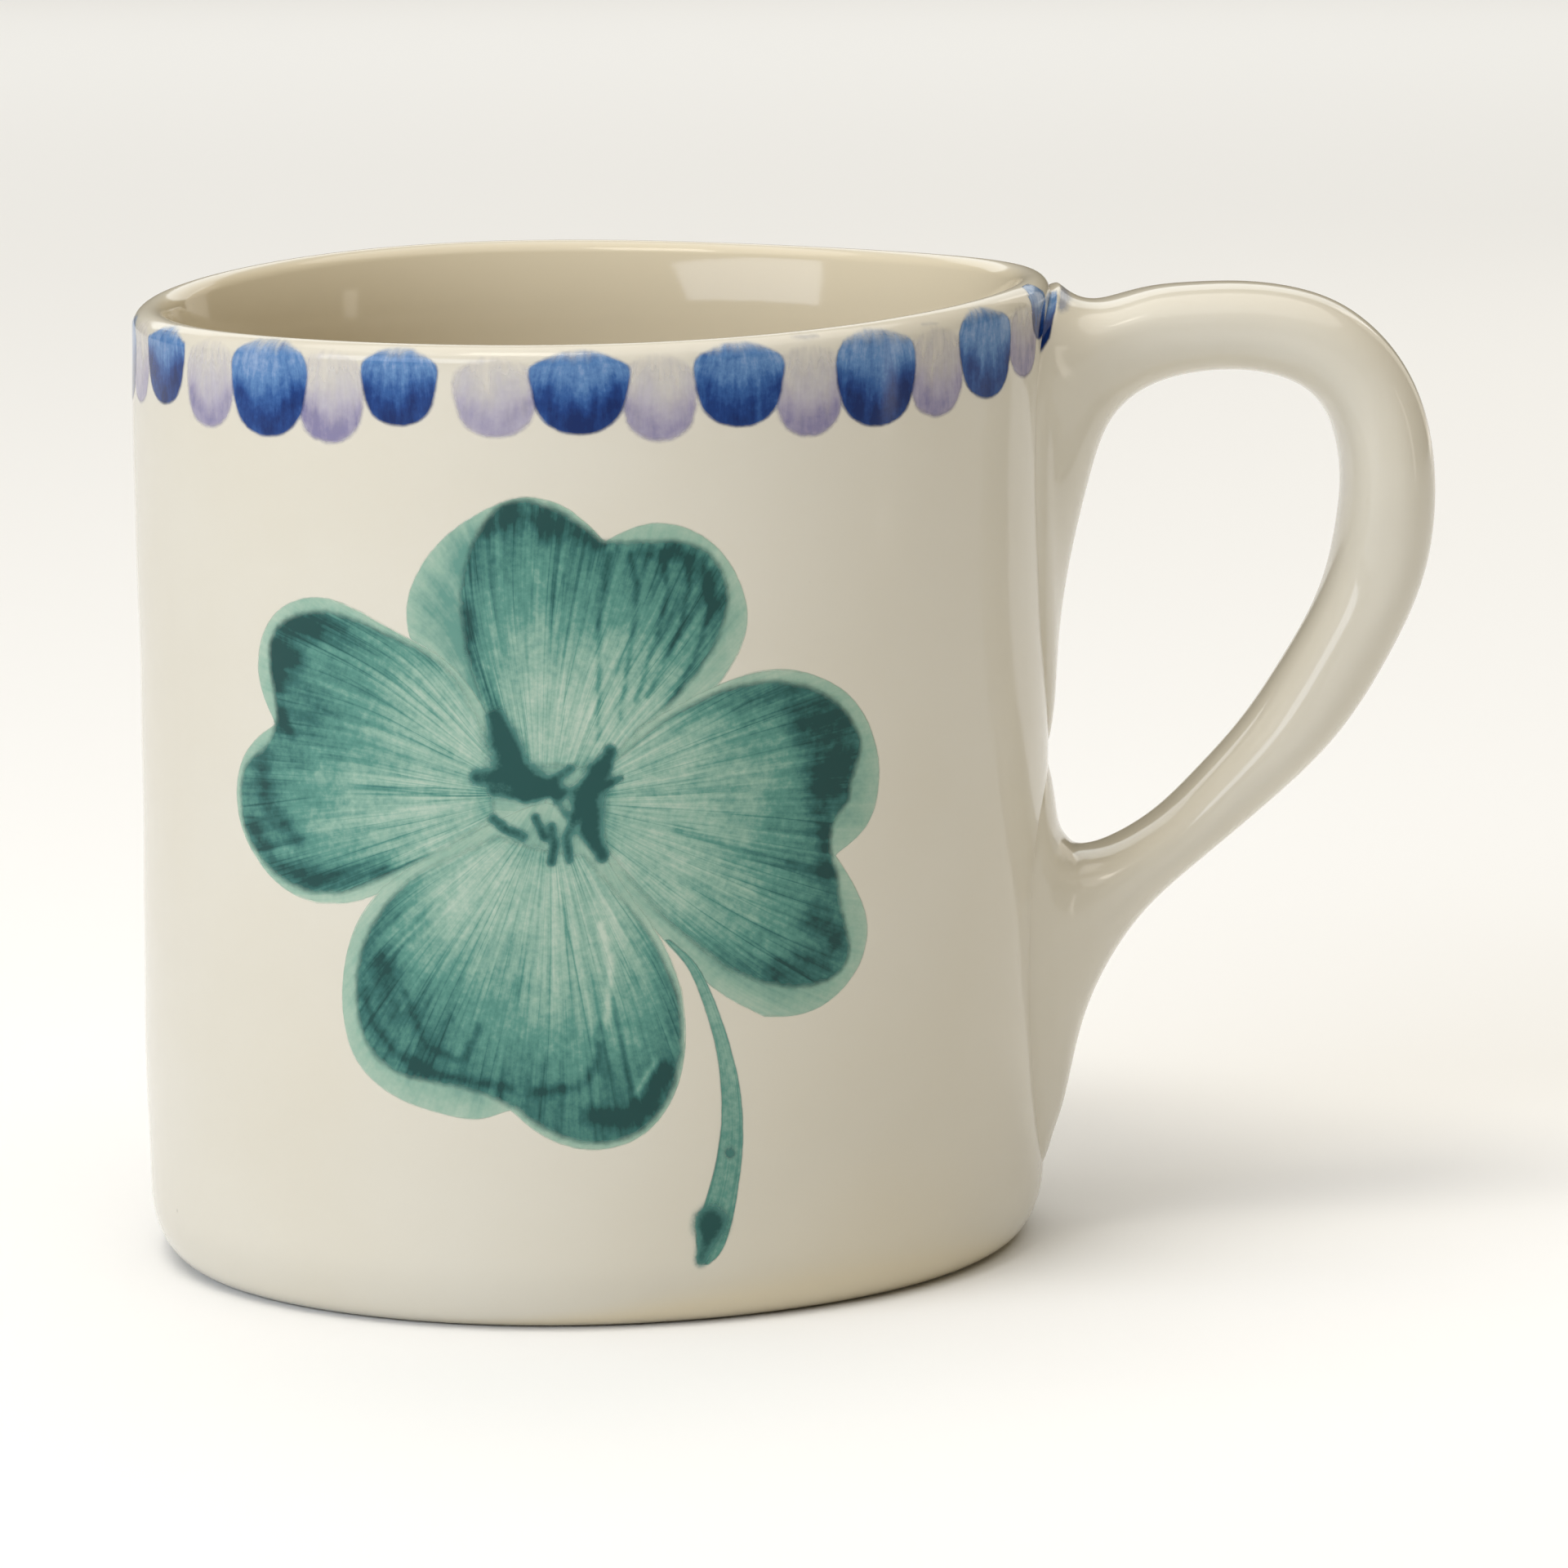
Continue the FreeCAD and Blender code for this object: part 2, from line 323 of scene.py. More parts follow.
@dataclass(frozen=True)
class GlazeFinish:
    """Glossy clear glaze over a cream body, with a few iron specks."""

    name: str
    cream: Colour = (0.670, 0.636, 0.548)
    warm: Colour = (0.630, 0.582, 0.470)
    # The inside's colour: painted shade, warmer than the cream to stand in for the warm light
    # bounced about inside the cup.
    liner_painted_shade: Colour = (0.690, 0.610, 0.445)
    speck: Colour = (0.16, 0.13, 0.10)
    specks_per_metre: float = 95.0
    roughness: float = 0.09
    outside_radius: float = 0.0440
    inside_radius: float = 0.0425

    def material(self) -> bpy.types.Material:
        """Cream that drifts slowly to a warmer tone, painted warmest inside as painted shade, with
        specks.

        Returns:
            The material, which tells the inside by its distance from the axis, in metres.
        """
        shader = Shader(self.name)
        where = shader.place()
        drift = shader.noise(where, 22.0, 3.0, 0.55).ease(0.30, 0.72)
        outside = shader.mix(self.cream, self.warm, drift * 0.55)
        # Painted shade: towards the inside, the cream is mixed into the warmer inside colour.
        painted_shade_inside = shader.from_axis(where).ease(self.outside_radius**2, self.inside_radius**2)
        body = shader.mix(outside, self.liner_painted_shade, painted_shade_inside * 0.85)
        large = shader.specks(where, self.specks_per_metre, 0.042, 0.16)
        small = shader.specks(where, self.specks_per_metre * 2.6, 0.05, 0.10)
        spots = (large * 0.75).top(small * 0.5)
        shader.set(
            base_color=shader.mix(body, self.speck, spots),
            roughness=shader.noise(where, 60.0) * 0.05 + (self.roughness - 0.02),
        )
        shader.gloss(GLAZE_SHEEN)
        shader.bump(shader.noise(where, 170.0, 1.0) - spots * 0.6, 0.00003)
        return shader.material


@dataclass(frozen=True)
class ClayFinish:
    """Bare fired clay with fine sand in it."""

    name: str
    pale: Colour = (0.62, 0.55, 0.44)
    deep: Colour = (0.46, 0.38, 0.28)

    def material(self) -> bpy.types.Material:
        """Mottled clay, rough, with grains that stand up a little."""
        shader = Shader(self.name)
        where = shader.place()
        mottle = shader.noise(where, 260.0, 4.0, 0.6)
        grain = shader.noise(where, 2200.0, 2.0, 0.7)
        dirt = (mottle * 0.7 + grain * 0.4).ease(0.3, 0.8)
        shader.set(
            base_color=shader.mix(self.pale, self.deep, dirt),
            roughness=grain * 0.15 + 0.72,
        )
        shader.bump(grain + mottle * 0.5, 0.00012)
        return shader.material


@dataclass(frozen=True)
class PaintFinish:
    """Stain brushed on under the gloss: thin where the brush skipped, dark where it pooled.

    The amount of stain is worked out from the brush coordinates, u across the stroke and v along
    it, and looked up in a row of tones from thinnest to thickest. base is the amount everywhere,
    and bands, bristles, lines and blotches are how much each adds or takes away. tip and heart
    thicken the stroke's two ends, pool the places where stain was left standing, and rim the
    outline over rim_width millimetres. edge is how far the outline feathers, in millimetres, dry
    how far along the stroke its thin, broken start reaches, opacity the most that it hides, and
    across how wide the stroke is beside a leaf.
    """

    name: str
    tones: Tones
    seed: float = 0.0
    base: float = 0.35
    bands: float = 0.30
    bristles: float = 0.25
    lines: float = 0.25
    tip: float = 0.15
    heart: float = 0.0
    pool: float = 0.8
    rim: float = 0.10
    rim_width: float = 0.35
    edge: float = 0.30
    opacity: float = 1.0
    dry: float = 0.0
    across: float = 1.0
    blotches: float = 0.25

    def amount(self, shader: Shader) -> Signal:
        """How thick the stain is, from 0 to 1.

        Broad bands and fine bristle marks are noise stretched along the stroke. Thin dark lines
        are the crests of the same kind of noise, broken here and there. The stain thickens
        towards the stroke's end, along its outline, and where the pool layer says that it was
        left standing, and it is a little grainy everywhere.
        """
        wide = self.across
        bands = shader.streaks(5.0 * wide, 0.8, self.seed, 2.0)
        bristles = shader.streaks(40.0 * wide, 1.5, self.seed + 3.0, 4.0, 0.62)
        along = shader.layer("along")
        edge = shader.layer("edge")
        place = shader.place()
        grain = shader.noise(place, 1500.0, 3.0, 0.65)
        blotch = shader.noise(place, 330.0, 3.0, 0.6)
        pool = shader.layer("pool") * (bristles * 1.3 + blotch * 1.6 - 0.40)
        return (
            (bands - 0.5) * (2.0 * self.bands)
            + (bristles - 0.5) * (2.0 * self.bristles)
            + self._lines(shader, 14.0, 5.0) * self.lines
            + self._lines(shader, 24.0, 8.0) * (self.lines * 0.7)
            + along.ease(0.25, 1.0) * self.tip
            + along.ease(0.14, 0.0) * self.heart
            + edge.ease(self.rim_width, 0.0) * self.rim
            + (blotch - 0.5) * self.blotches
            + (grain - 0.5) * 0.40
            + pool * self.pool
            + self.base
        )

    def _lines(self, shader: Shader, count: float, shift: float) -> Signal:
        """Long thin dark lines that single bristles left.

        Args:
            shader: the material.
            count: about how many there are across a stroke.
            shift: moves them.

        Returns:
            1 on a line and 0 between lines.
        """
        crests = shader.streaks(count * self.across, 0.4, self.seed + shift, 1.0)
        breaks = shader.streaks(9.0 * self.across, 2.2, self.seed + shift + 1.0, 1.0)
        return (1.0 - abs(crests * 2.0 - 1.0)) ** 40.0 * breaks.ease(0.38, 0.62)

    def cover(self, shader: Shader) -> Signal:
        """How much the stain hides what is under it: it thins out towards a ragged edge."""
        ragged = shader.noise(shader.place(), 800.0, 3.0, 0.6)
        depth = shader.layer("edge") - ragged * (0.7 * self.edge)
        inside = depth.ease(-0.2 * self.edge, self.edge)
        if self.dry:
            streaks = shader.streaks(30.0 * self.across, 2.0, self.seed + 11.0, 2.0)
            start = shader.layer("along") - (streaks - 0.5) * self.dry
            inside = inside * start.ease(-0.3 * self.dry, self.dry)
        return inside * self.opacity

    def material(self) -> bpy.types.Material:
        """The stain's colour by its amount, under the same gloss as the glaze."""
        shader = Shader(self.name)
        shader.set(
            base_color=shader.ramp(self.amount(shader), self.tones),
            alpha=self.cover(shader),
            roughness=shader.noise(shader.place(), 60.0) * 0.05 + 0.07,
        )
        shader.gloss(STAIN_SHEEN)
        return shader.material


@dataclass(frozen=True)
class DabFinish:
    """Very dark stain left in separate dabs, drawn by the pool layer alone."""

    name: str
    thin: Colour
    thick: Colour

    def material(self) -> bpy.types.Material:
        """Opaque inside a dab, clear outside, with a feathered edge and a streaky depth."""
        shader = Shader(self.name)
        where = shader.place()
        ragged = shader.noise(where, 450.0, 6.0, 0.8)
        streak = shader.noise(where, 300.0, 3.0)
        level = shader.layer("pool") * (ragged * 2.0 - 0.05)
        shader.set(
            base_color=shader.mix(self.thin, self.thick, (level + streak * 0.4).ease(0.35, 1.25)),
            alpha=level.ease(0.08, 0.62) * shader.layer("edge").ease(0.0, 0.8),
            roughness=streak * 0.05 + 0.07,
        )
        shader.gloss(STAIN_SHEEN)
        return shader.material


GREENS: Tones = (
    (0.00, (0.47, 0.57, 0.47)),
    (0.25, (0.265, 0.425, 0.338)),
    (0.50, (0.095, 0.265, 0.215)),
    (0.75, (0.032, 0.135, 0.120)),
    (0.90, (0.016, 0.088, 0.080)),
    (1.00, (0.008, 0.056, 0.052)),
)
PALE_GREENS: Tones = (
    (0.0, (0.43, 0.55, 0.44)),
    (0.5, (0.26, 0.42, 0.33)),
    (1.0, (0.10, 0.27, 0.22)),
)
BLUES: Tones = (
    (0.0, (0.28, 0.38, 0.56)),
    (0.25, (0.105, 0.22, 0.43)),
    (0.5, (0.030, 0.10, 0.29)),
    (0.75, (0.008, 0.042, 0.185)),
    (1.0, (0.002, 0.018, 0.105)),
)
LAVENDERS: Tones = (
    (0.0, (0.56, 0.54, 0.54)),
    (0.5, (0.40, 0.37, 0.45)),
    (1.0, (0.21, 0.19, 0.32)),
)
GREYS: Tones = (
    (0.0, (0.42, 0.43, 0.46)),
    (0.5, (0.25, 0.28, 0.36)),
    (1.0, (0.12, 0.15, 0.26)),
)

GREEN_WASH = PaintFinish(
    "green_wash", PALE_GREENS, 1.0, base=0.66, bands=0.30, bristles=0.35, lines=0.0, tip=0.0,
    rim=-0.34, rim_width=3.2, edge=0.25, opacity=0.93, blotches=0.5,
)
GREEN_STROKES = PaintFinish(
    "green_strokes", GREENS, 2.0, base=0.22, bands=0.24, bristles=0.34, lines=0.28, tip=0.46,
    heart=0.12, pool=0.50, rim=0.06, edge=0.8, opacity=0.98, blotches=0.34,
)
STEM_GREEN = PaintFinish(
    "stem_green", GREENS, 3.0, base=0.42, bands=0.2, bristles=0.1, lines=0.15, tip=0.05, rim=0.2,
    edge=0.2, across=0.25, opacity=0.95,
)
DARK_GREEN = DabFinish("dark_green", (0.085, 0.250, 0.215), (0.012, 0.070, 0.064))
BLUE_STAIN = PaintFinish(
    "blue_stain", BLUES, 6.0, base=0.22, bands=0.2, bristles=0.35, lines=0.0, tip=0.50, pool=0.5,
    rim=0.05, edge=0.4, dry=0.22, across=0.3,
)
LAVENDER_STAIN = PaintFinish(
    "lavender_stain", LAVENDERS, 7.0, base=0.18, bands=0.16, bristles=0.2, lines=0.0, tip=0.42,
    pool=0.6, rim=0.0, edge=0.6, dry=0.9, across=0.3,
)
GREY_SMEAR = PaintFinish(
    "grey_blue_smear", GREYS, 8.0, base=0.4, bristles=0.3, edge=0.9, opacity=0.75, across=0.3
)


# --- curves and meshes ------------------------------------------------------------------------
def spline(points: np.ndarray, samples: int) -> np.ndarray:
    """A natural cubic spline through points, by chord length.

    Args:
        points: (n, d) knots.
        samples: how many places to return, evenly spaced in chord length.

    Returns:
        (samples, d) places, the first and last on the first and last knots.
    """
    knots = np.asarray(points, float)
    chord = np.linalg.norm(np.diff(knots, axis=0), axis=1)
    at = np.concatenate([[0.0], np.cumsum(chord)])
    count = len(knots)
    system = np.eye(count)
    right = np.zeros_like(knots)
    inner = np.arange(1, count - 1)
    system[inner, inner - 1] = chord[:-1]
    system[inner, inner] = 2.0 * (chord[:-1] + chord[1:])
    system[inner, inner + 1] = chord[1:]
    slope = np.diff(knots, axis=0) / chord[:, None]
    right[1:-1] = 6.0 * np.diff(slope, axis=0)
    bend = np.linalg.solve(system, right)
    where = np.linspace(0.0, at[-1], samples)
    span = np.clip(np.searchsorted(at, where, side="right") - 1, 0, count - 2)
    step = chord[span][:, None]
    a = (at[span + 1] - where)[:, None]
    b = (where - at[span])[:, None]
    return (
        bend[span] * a**3 / (6 * step)
        + bend[span + 1] * b**3 / (6 * step)
        + (knots[span] / step - bend[span] * step / 6) * a
        + (knots[span + 1] / step - bend[span + 1] * step / 6) * b
    )


def run(stretches: Sequence[Points], samples: int) -> np.ndarray:
    """Splines joined end to end with a corner between them, evenly spaced along the whole.

    Args:
        stretches: the knots of each spline; each starts where the last one ends.
        samples: how many places to return.

    Returns:
        (samples, d) places.
    """
    dense = [spline(np.array(points, float), SPLINE_SAMPLES) for points in stretches]
    joined = np.concatenate([dense[0]] + [part[1:] for part in dense[1:]])
    length = np.concatenate([[0.0], np.cumsum(np.linalg.norm(np.diff(joined, axis=0), axis=1))])
    where = np.linspace(0.0, length[-1], samples)
    return np.stack([np.interp(where, length, column) for column in joined.T], axis=1)


def quads(rows: int, columns: int, closed: bool = False) -> np.ndarray:
    """Faces of a grid of points laid out row by row.

    Args:
        rows: points along the first parameter.
        columns: points along the second.
        closed: whether the last column joins the first.

    Returns:
        (n, 4) point numbers.
    """
    here = np.arange(columns if closed else columns - 1)
    nxt = (here + 1) % columns
    base = (np.arange(rows - 1) * columns)[:, None]
    corners = [base + here, base + nxt, base + columns + nxt, base + columns + here]
    return np.stack(corners, axis=-1).reshape(-1, 4)


def fans(ring: np.ndarray, pole: int, flip: bool) -> np.ndarray:
    """Triangles from a closed ring of points to a pole."""
    nxt = np.roll(ring, -1)
    order = (nxt, ring) if flip else (ring, nxt)
    return np.stack([*order, np.full(len(ring), pole)], axis=-1)


def make_piece(
    name: str,
    points: np.ndarray,
    faces: Sequence[np.ndarray],
    flat: Sequence[bool],
    brush: np.ndarray | None = None,
    layers: dict[str, np.ndarray] | None = None,
) -> bpy.types.Object:
    """Puts a mesh into the scene.

    Args:
        name: the piece's name.
        points: (n, 3) places in millimetres.
        faces: arrays of point numbers, triangles or quads.
        flat: for each array, whether its faces are shaded flat.
        brush: (n, 2) brush coordinates.
        layers: (n,) numbers to store on the points, by name.

    Returns:
        The new object.
    """
    mesh = bpy.data.meshes.new(name)
    corners = np.concatenate([part.ravel() for part in faces]).astype(np.int32)
    totals = np.concatenate([np.full(len(part), part.shape[1]) for part in faces])
    starts = np.concatenate([[0], np.cumsum(totals)[:-1]])
    mesh.vertices.add(len(points))
    mesh.vertices.foreach_set("co", (points * MM).astype(np.float32).ravel())
    mesh.loops.add(len(corners))
    mesh.loops.foreach_set("vertex_index", corners)
    mesh.polygons.add(len(totals))
    mesh.polygons.foreach_set("loop_start", starts.astype(np.int32))
    smooth = np.concatenate([np.full(len(part), not dull) for part, dull in zip(faces, flat)])
    mesh.polygons.foreach_set("use_smooth", smooth)
    if brush is not None:
        chart = mesh.uv_layers.new(name="brush")
        chart.data.foreach_set("uv", brush[corners].astype(np.float32).ravel())
    for label, values in (layers or {}).items():
        store = mesh.attributes.new(label, "FLOAT", "POINT")
        store.data.foreach_set("value", values.astype(np.float32))
    mesh.update()
    mesh.validate()
    piece = bpy.data.objects.new(name, mesh)
    bpy.context.scene.collection.objects.link(piece)
    return piece


def dress(
    piece: bpy.types.Object, material: bpy.types.Material, nodes: Sequence[str]
) -> None:
    """Gives a piece its finish and ties it to the CAD frame.

    Args:
        piece: the new piece.
        material: its finish.
        nodes: the CAD nodes that it stands for.
    """
    piece.data.materials.append(material)
    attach(piece, BODY)
    if nodes:
        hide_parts(*nodes)
    log.info("%s: %d faces for %s", piece.name, len(piece.data.polygons), ", ".join(nodes))


# --- the cup -----------------------------------------------------------------------------------
@dataclass(frozen=True)
class Wall:
    """The cup's thrown shape, a profile turned about the axis and then left a little uneven.

    The lip is a round bead, and just below it the inside flares outwards.
    """

    rim_radius: float = 46.0
    base_radius: float = 45.0
    bulge: float = 0.4
    foot_start: tuple[float, float] = (41.2, 0.05)
    foot_round: tuple[float, float] = (3.8, 7.2)
    lip_centre: tuple[float, float] = (44.1, 95.1)
    lip_round: float = 1.9
    lip_flare: float = 0.36
    flare_height: float = 7.5
    inner_base: float = 40.6
    cove_centre: tuple[float, float] = (34.6, 12.4)
    cove_round: float = 6.0
    underside: float = 1.6
    underside_gap: float = 1.5
    still_height: float = 50.0
    round_height: float = 60.0
    rim_wave: tuple[tuple[float, float], ...] = ((1.0, 1.6), (0.04, -0.31), (0.30, -0.12))
    oval: tuple[float, float] = (0.0097, 0.0342)

    def radius(self, height: np.ndarray) -> np.ndarray:
        """Outside radius of the even cup, r = line + bulge * sin(pi * share of the height)."""
        low = self.foot_start[1] + self.foot_round[1]
        share = np.clip((height - low) / (self.lip_centre[1] - low), 0.0, 1.0)
        taper = self.base_radius + (self.rim_radius - self.base_radius) * share
        return taper + self.bulge * np.sin(math.pi * share)

    def wave(self, angle: np.ndarray) -> np.ndarray:
        """Rise of the rim, a sum of a cos(n * angle) + b sin(n * angle) for n = 1, 2, 3."""
        return sum(
            a * np.cos((n + 1) * angle) + b * np.sin((n + 1) * angle)
            for n, (a, b) in enumerate(self.rim_wave)
        )

    def rise(self) -> float:
        """Height of the wall that the rim's wave is spread over."""
        return self.lip_centre[1] + self.lip_round - self.still_height

    def uneven(self, radius: np.ndarray, angle: np.ndarray, height: np.ndarray) -> np.ndarray:
        """The even cup's points moved to where the real cup's lie.

        The rim's wave grows from nothing at still_height. The plan is an oval at the foot and a
        circle at round_height. The wall carries faint swells left by the potter's fingers:
        a few tenths of a millimetre, sines of the angle and the height.

        Args:
            radius: even radius.
            angle: angle from the handle's side, radians.
            height: even height.

        Returns:
            (..., 3) places.
        """
        fade = np.clip(height / self.round_height, 0.0, 1.0)
        fade = 1.0 - fade * fade * (3.0 - 2.0 * fade)
        oval = 1.0 + fade * (self.oval[0] * np.cos(2 * angle) + self.oval[1] * np.sin(2 * angle))
        outer = np.clip((radius - self.cove_centre[0]) / 6.0, 0.0, 1.0)
        swell = (
            0.10 * np.sin(2 * angle + height / 13.0)
            + 0.07 * np.sin(3 * angle - height / 8.0 + 1.3)
            + 0.035 * np.sin(7 * angle + height / 5.0 + 0.4)
            + 0.03 * np.sin(height / 2.6 + 0.8 * np.sin(angle))
        )
        reach = radius * oval + swell * outer
        share = np.clip((height - self.still_height) / self.rise(), 0.0, None)
        lifted = height + share * self.wave(angle)
        return np.stack([reach * np.cos(angle), reach * np.sin(angle), lifted], axis=-1)

    def place(self, round_wall: np.ndarray, height: np.ndarray, lift: float) -> np.ndarray:
        """A place of the painting.

        Args:
            round_wall: distance round the wall from the middle of the front.
            height: height above the table.
            lift: distance out from the surface.

        Returns:
            (..., 3) places.
        """
        angle = round_wall / self.rim_radius - math.pi / 2.0
        stretch = 1.0 + self.wave(angle) / self.rise()
        above = np.clip(height - self.still_height, 0.0, None)
        even = np.where(above > 0, self.still_height + above / stretch, height)
        turn = np.arcsin(np.clip((even - self.lip_centre[1]) / self.lip_round, 0.0, 0.98))
        bead = self.lip_round + lift
        on_lip = turn > 0
        radius = np.where(
            on_lip, self.lip_centre[0] + bead * np.cos(turn), self.radius(even) + lift
        )
        level = np.where(on_lip, self.lip_centre[1] + bead * np.sin(turn), even)
        return self.uneven(radius, angle, level)


def arc(centre: tuple[float, float], size: tuple[float, float], turn: np.ndarray) -> np.ndarray:
    """Radius and height along an ellipse, centre + size * (cos, sin) of turn."""
    return np.stack(
        [centre[0] + size[0] * np.cos(turn), centre[1] + size[1] * np.sin(turn)], axis=-1
    )


@dataclass
class Cup:
    """The thrown cup: one glazed skin from under the foot, over the lip, to the floor inside.

    The skin starts and ends on a ring of radius pole, which a fan of triangles closes.
    """

    wall: Wall
    glaze: bpy.types.Material
    clay: bpy.types.Material
    columns: int = 384
    corner_rows: int = 22
    outside_rows: int = 76
    lip_rows: int = 30
    inside_rows: int = 70
    under_rows: int = 12
    pole: float = 0.4
    ring: tuple[float, float] = (36.4, 40.8)
    ring_height: float = 2.6
    ring_rows: int = 40
    ring_squareness: float = 5.0

    def profile(self) -> np.ndarray:
        """Radius and height from the middle of the underside round to the middle of the floor.

        The inside leans evenly from the cove to the lip, and within flare_height of the lip it
        also swings out by reach * share^2, which meets the lip's bead at the angle lip_flare.

        Returns:
            (n, 2) places, less the two middles.
        """
        w = self.wall
        quarter = np.linspace(0.0, math.pi / 2.0, self.corner_rows)
        corner = np.stack(
            [
                w.foot_start[0] + w.foot_round[0] * np.sin(quarter),
                w.foot_start[1] + w.foot_round[1] * (1.0 - np.cos(quarter)),
            ],
            axis=-1,
        )
        up = np.linspace(corner[-1, 1], w.lip_centre[1], self.outside_rows)[1:-1]
        outside = np.stack([w.radius(up), up], axis=-1)
        half = np.linspace(0.0, math.pi - w.lip_flare, self.lip_rows)
        lip = arc(w.lip_centre, (w.lip_round, w.lip_round), half)
        down = np.linspace(lip[-1, 1], w.cove_centre[1], self.inside_rows)[1:-1]
        flare = np.clip(1.0 - (lip[-1, 1] - down) / w.flare_height, 0.0, 1.0)
        reach = math.tan(w.lip_flare) * w.flare_height / 2.0
        lean = (down - w.cove_centre[1]) / (lip[-1, 1] - w.cove_centre[1])
        inner = w.inner_base + (lip[-1, 0] - reach - w.inner_base) * lean + reach * flare**2
        inside = np.stack([inner, down], axis=-1)
        cove = arc(w.cove_centre, (w.cove_round, -w.cove_round), quarter)
        painted_shade_inside = np.linspace(w.cove_centre[0], self.pole, self.corner_rows)[1:]
        floor = np.stack([painted_shade_inside, np.full_like(painted_shade_inside, cove[-1, 1])], axis=-1)
        outward = np.linspace(self.pole, w.foot_start[0] - w.underside_gap, self.under_rows)
        under = np.stack([outward, np.full_like(outward, w.underside)], axis=-1)
        return np.concatenate([under, corner, outside, lip, inside, cove, floor])

    def build(self) -> None:
        """Turns the profile, closes both middles with a point, and adds the bare foot."""
        profile = self.profile()
        angle = np.linspace(0.0, 2.0 * math.pi, self.columns, endpoint=False)[None, :]
        rows = len(profile)
        radius = np.repeat(profile[:, :1], self.columns, axis=1)
        height = np.repeat(profile[:, 1:], self.columns, axis=1)
        skin = self.wall.uneven(radius, np.repeat(angle, rows, axis=0), height).reshape(-1, 3)
        poles = np.array([[0.0, 0.0, profile[0, 1]], [0.0, 0.0, profile[-1, 1]]])
        first = np.arange(self.columns)
        last = first + (rows - 1) * self.columns
        faces = [
            quads(rows, self.columns, closed=True),
            fans(first, rows * self.columns, flip=True),
            fans(last, rows * self.columns + 1, flip=False),
        ]
        cup = make_piece("glazed_cup", np.concatenate([skin, poles]), faces, [False] * 3)
        dress(
            cup,
            self.glaze,
            ["cup_wall", "cup_floor", "outer_glaze", "liner_glaze", "base_glaze"],
        )
        self._build_foot(angle)

    def _build_foot(self, angle: np.ndarray) -> None:
        """The ring of bare clay that the mug stands on, wiped clean with a sponge.

        Its section is a superellipse, and it is worn a few hundredths of a millimetre uneven.

        Args:
            angle: (1, n) angles round the cup.
        """
        inner, outer = self.ring
        middle = (inner + outer) / 2.0
        turn = np.linspace(0.0, 2.0 * math.pi, self.ring_rows, endpoint=False)[:, None]
        square = 2.0 / self.ring_squareness
        across = np.sign(np.cos(turn)) * np.abs(np.cos(turn)) ** square
        upright = np.sign(np.sin(turn)) * np.abs(np.sin(turn)) ** square
        worn = 0.05 * np.sin(9 * angle + 1.0) + 0.04 * np.sin(23 * angle)
        radius = middle + (outer - inner) / 2.0 * across + worn * across
        half = self.ring_height / 2.0
        height = half + half * upright - np.abs(worn) * np.minimum(upright, 0.0)
        ring = self.wall.uneven(radius, np.repeat(angle, len(turn), axis=0), height)
        loop = np.concatenate([ring, ring[:1]]).reshape(-1, 3)
        faces = quads(len(turn) + 1, self.columns, closed=True) % (len(turn) * self.columns)
        foot = make_piece("bare_foot", loop[: len(turn) * self.columns], [faces], [False])
        dress(foot, self.clay, ["foot_ring"])


